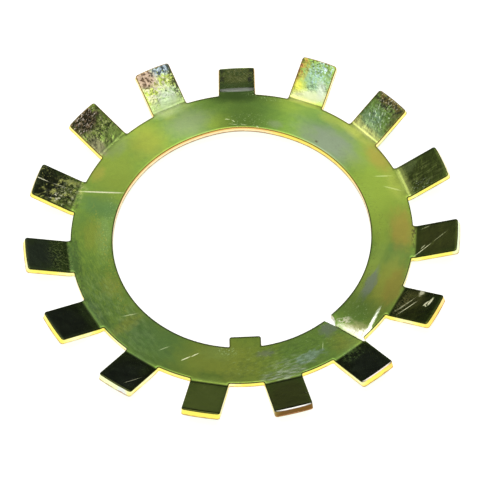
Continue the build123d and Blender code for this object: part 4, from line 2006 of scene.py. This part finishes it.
@dataclass
class Studio:
    """Floor, sky and camera. Lengths are in millimetres and angles in degrees.

    Only the camera's two clip distances are in metres.
    """

    ring_top: float = WasherSizes.thickness
    camera_elevation: float = 57.45
    camera_roll: float = -4.06
    camera_turn: float = 1.85
    camera_distance: float = 544.9
    aim_right: float = -0.315
    aim_up: float = -1.279
    lens: float = 201.58
    sensor: float = 36.0
    near_clip: float = 0.01
    far_clip: float = 20.0
    lamp_lean_back: float = 6.0
    lamp_lean_left: float = 2.0
    floor_size: float = 6000.0
    floor_lean: float = 2.46
    rim_contact: float = -WasherSizes.ring_diameter / 2
    floor_tone: float = 0.8
    floor_glow: float = 0.88
    # Angle from the middle of the overhead light, and brightness there
    sky: tuple[tuple[float, float], ...] = (
        (0.0, 1.8), (17.0, 1.8), (20.5, 1.45), (22.5, 0.98), (25.0, 0.8), (27.0, 0.6),
        (29.0, 0.47), (33.0, 0.38), (38.0, 0.14), (47.0, 0.09), (52.0, 0.05), (56.0, 0.013),
        (64.0, 0.013), (67.5, 0.11), (76.0, 0.19), (85.0, 0.22), (180.0, 0.22),
    )

    def build_camera(self) -> None:
        """Places the camera at the photograph's view."""
        rise, roll = math.radians(self.camera_elevation), math.radians(self.camera_roll)
        back = Vector((0, -math.cos(rise), math.sin(rise)))
        up, right = Vector((0, math.sin(rise), math.cos(rise))), Vector((1, 0, 0))
        image_right = right * math.cos(roll) + up * math.sin(roll)
        image_up = up * math.cos(roll) - right * math.sin(roll)
        place = back * self.camera_distance + image_right * self.aim_right + image_up * self.aim_up
        turn = Matrix.Rotation(math.radians(self.camera_turn), 4, "Z")
        frame_matrix = Matrix((image_right, image_up, back)).transposed().to_4x4()
        data = bpy.data.cameras.new("camera")
        data.sensor_width, data.lens = self.sensor, self.lens
        data.clip_start, data.clip_end = self.near_clip, self.far_clip
        camera = bpy.data.objects.new("camera", data)
        place = turn @ ((place + Vector((0, 0, self.ring_top))) * MM)
        camera.matrix_world = Matrix.Translation(place) @ turn @ frame_matrix
        bpy.context.scene.collection.objects.link(camera)
        bpy.context.scene.camera = camera

    def build_sky(self) -> None:
        """Lights the scene with one soft overhead light, and shows white to the camera."""
        world = bpy.data.worlds.new("studio")
        world.use_nodes = True
        bpy.context.scene.world = world
        tree = world.node_tree
        tree.nodes.clear()
        graph = Graph(tree)
        view = graph.add("ShaderNodeTexCoord").outputs["Generated"]
        back, left = math.radians(self.lamp_lean_back), math.radians(self.lamp_lean_left)
        middle = Vector((-math.sin(left), math.sin(back), 1)).normalized()
        dot = graph.add("ShaderNodeVectorMath", view, tuple(middle), operation="DOT_PRODUCT")
        angle = graph.maths("ARCCOSINE", dot.outputs["Value"])
        share = graph.maths("DIVIDE", angle, math.pi)
        ramp = graph.add("ShaderNodeValToRGB", share)
        while len(ramp.color_ramp.elements) < len(self.sky):
            ramp.color_ramp.elements.new(0.5)
        for element, (degrees, level) in zip(ramp.color_ramp.elements, self.sky):
            element.position = degrees / 180
            level /= self.sky[0][1]
            element.color = (level, level, level, 1)
        light = graph.add("ShaderNodeBackground", ramp.outputs[0], self.sky[0][1]).outputs[0]
        white = graph.add("ShaderNodeBackground", (1, 1, 1, 1), 1.0).outputs[0]
        ray = graph.add("ShaderNodeLightPath").outputs["Is Camera Ray"]
        mixed = graph.add("ShaderNodeMixShader", ray, light, white).outputs[0]
        graph.add("ShaderNodeOutputWorld", mixed)

    def build_floor(self) -> None:
        """Lays the floor under the washer, which leans on its rim and its lowered tab."""
        half = self.floor_size / 2
        corners = [(-half, -half, 0), (half, -half, 0), (half, half, 0), (-half, half, 0)]
        mesh = bpy.data.meshes.new("floor")
        lean = Matrix.Rotation(-math.radians(self.floor_lean), 4, "X")
        contact = Vector((0, self.rim_contact, 0))
        places = [(contact + lean @ Vector(corner)) * MM for corner in corners]
        mesh.from_pydata(places, [], [(0, 1, 2, 3)])
        floor = bpy.data.objects.new("floor", mesh)
        material = bpy.data.materials.new("floor")
        material.use_nodes = True
        material.node_tree.nodes.clear()
        graph = Graph(material.node_tree)
        grey = (self.floor_tone, self.floor_tone, self.floor_tone, 1)
        matt = graph.add("ShaderNodeBsdfDiffuse", grey).outputs[0]
        path = graph.add("ShaderNodeLightPath").outputs
        seen = graph.maths("MAXIMUM", path["Is Camera Ray"], path["Is Glossy Ray"])
        level = graph.maths("MULTIPLY", seen, self.floor_glow)
        glow = graph.add("ShaderNodeEmission", (1, 1, 1, 1), level).outputs[0]
        sum_of_both = graph.add("ShaderNodeAddShader", matt, glow).outputs[0]
        graph.add("ShaderNodeOutputMaterial", sum_of_both)
        mesh.materials.append(material)
        bpy.context.scene.collection.objects.link(floor)

    def build(self) -> None:
        """Builds the sky, the floor and the camera."""
        self.build_sky()
        self.build_floor()
        self.build_camera()
        bpy.context.scene.view_settings.view_transform = "Standard"


def main() -> None:
    """Builds the washer and the studio."""
    logging.basicConfig(level=logging.INFO, format="%(name)s: %(message)s")
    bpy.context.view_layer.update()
    piece = Washer().build()
    LOG.info("%s: %d faces", piece.name, len(piece.data.polygons))
    Studio().build()
    LOG.info("studio ready")


if __name__ == "__main__":
    main()
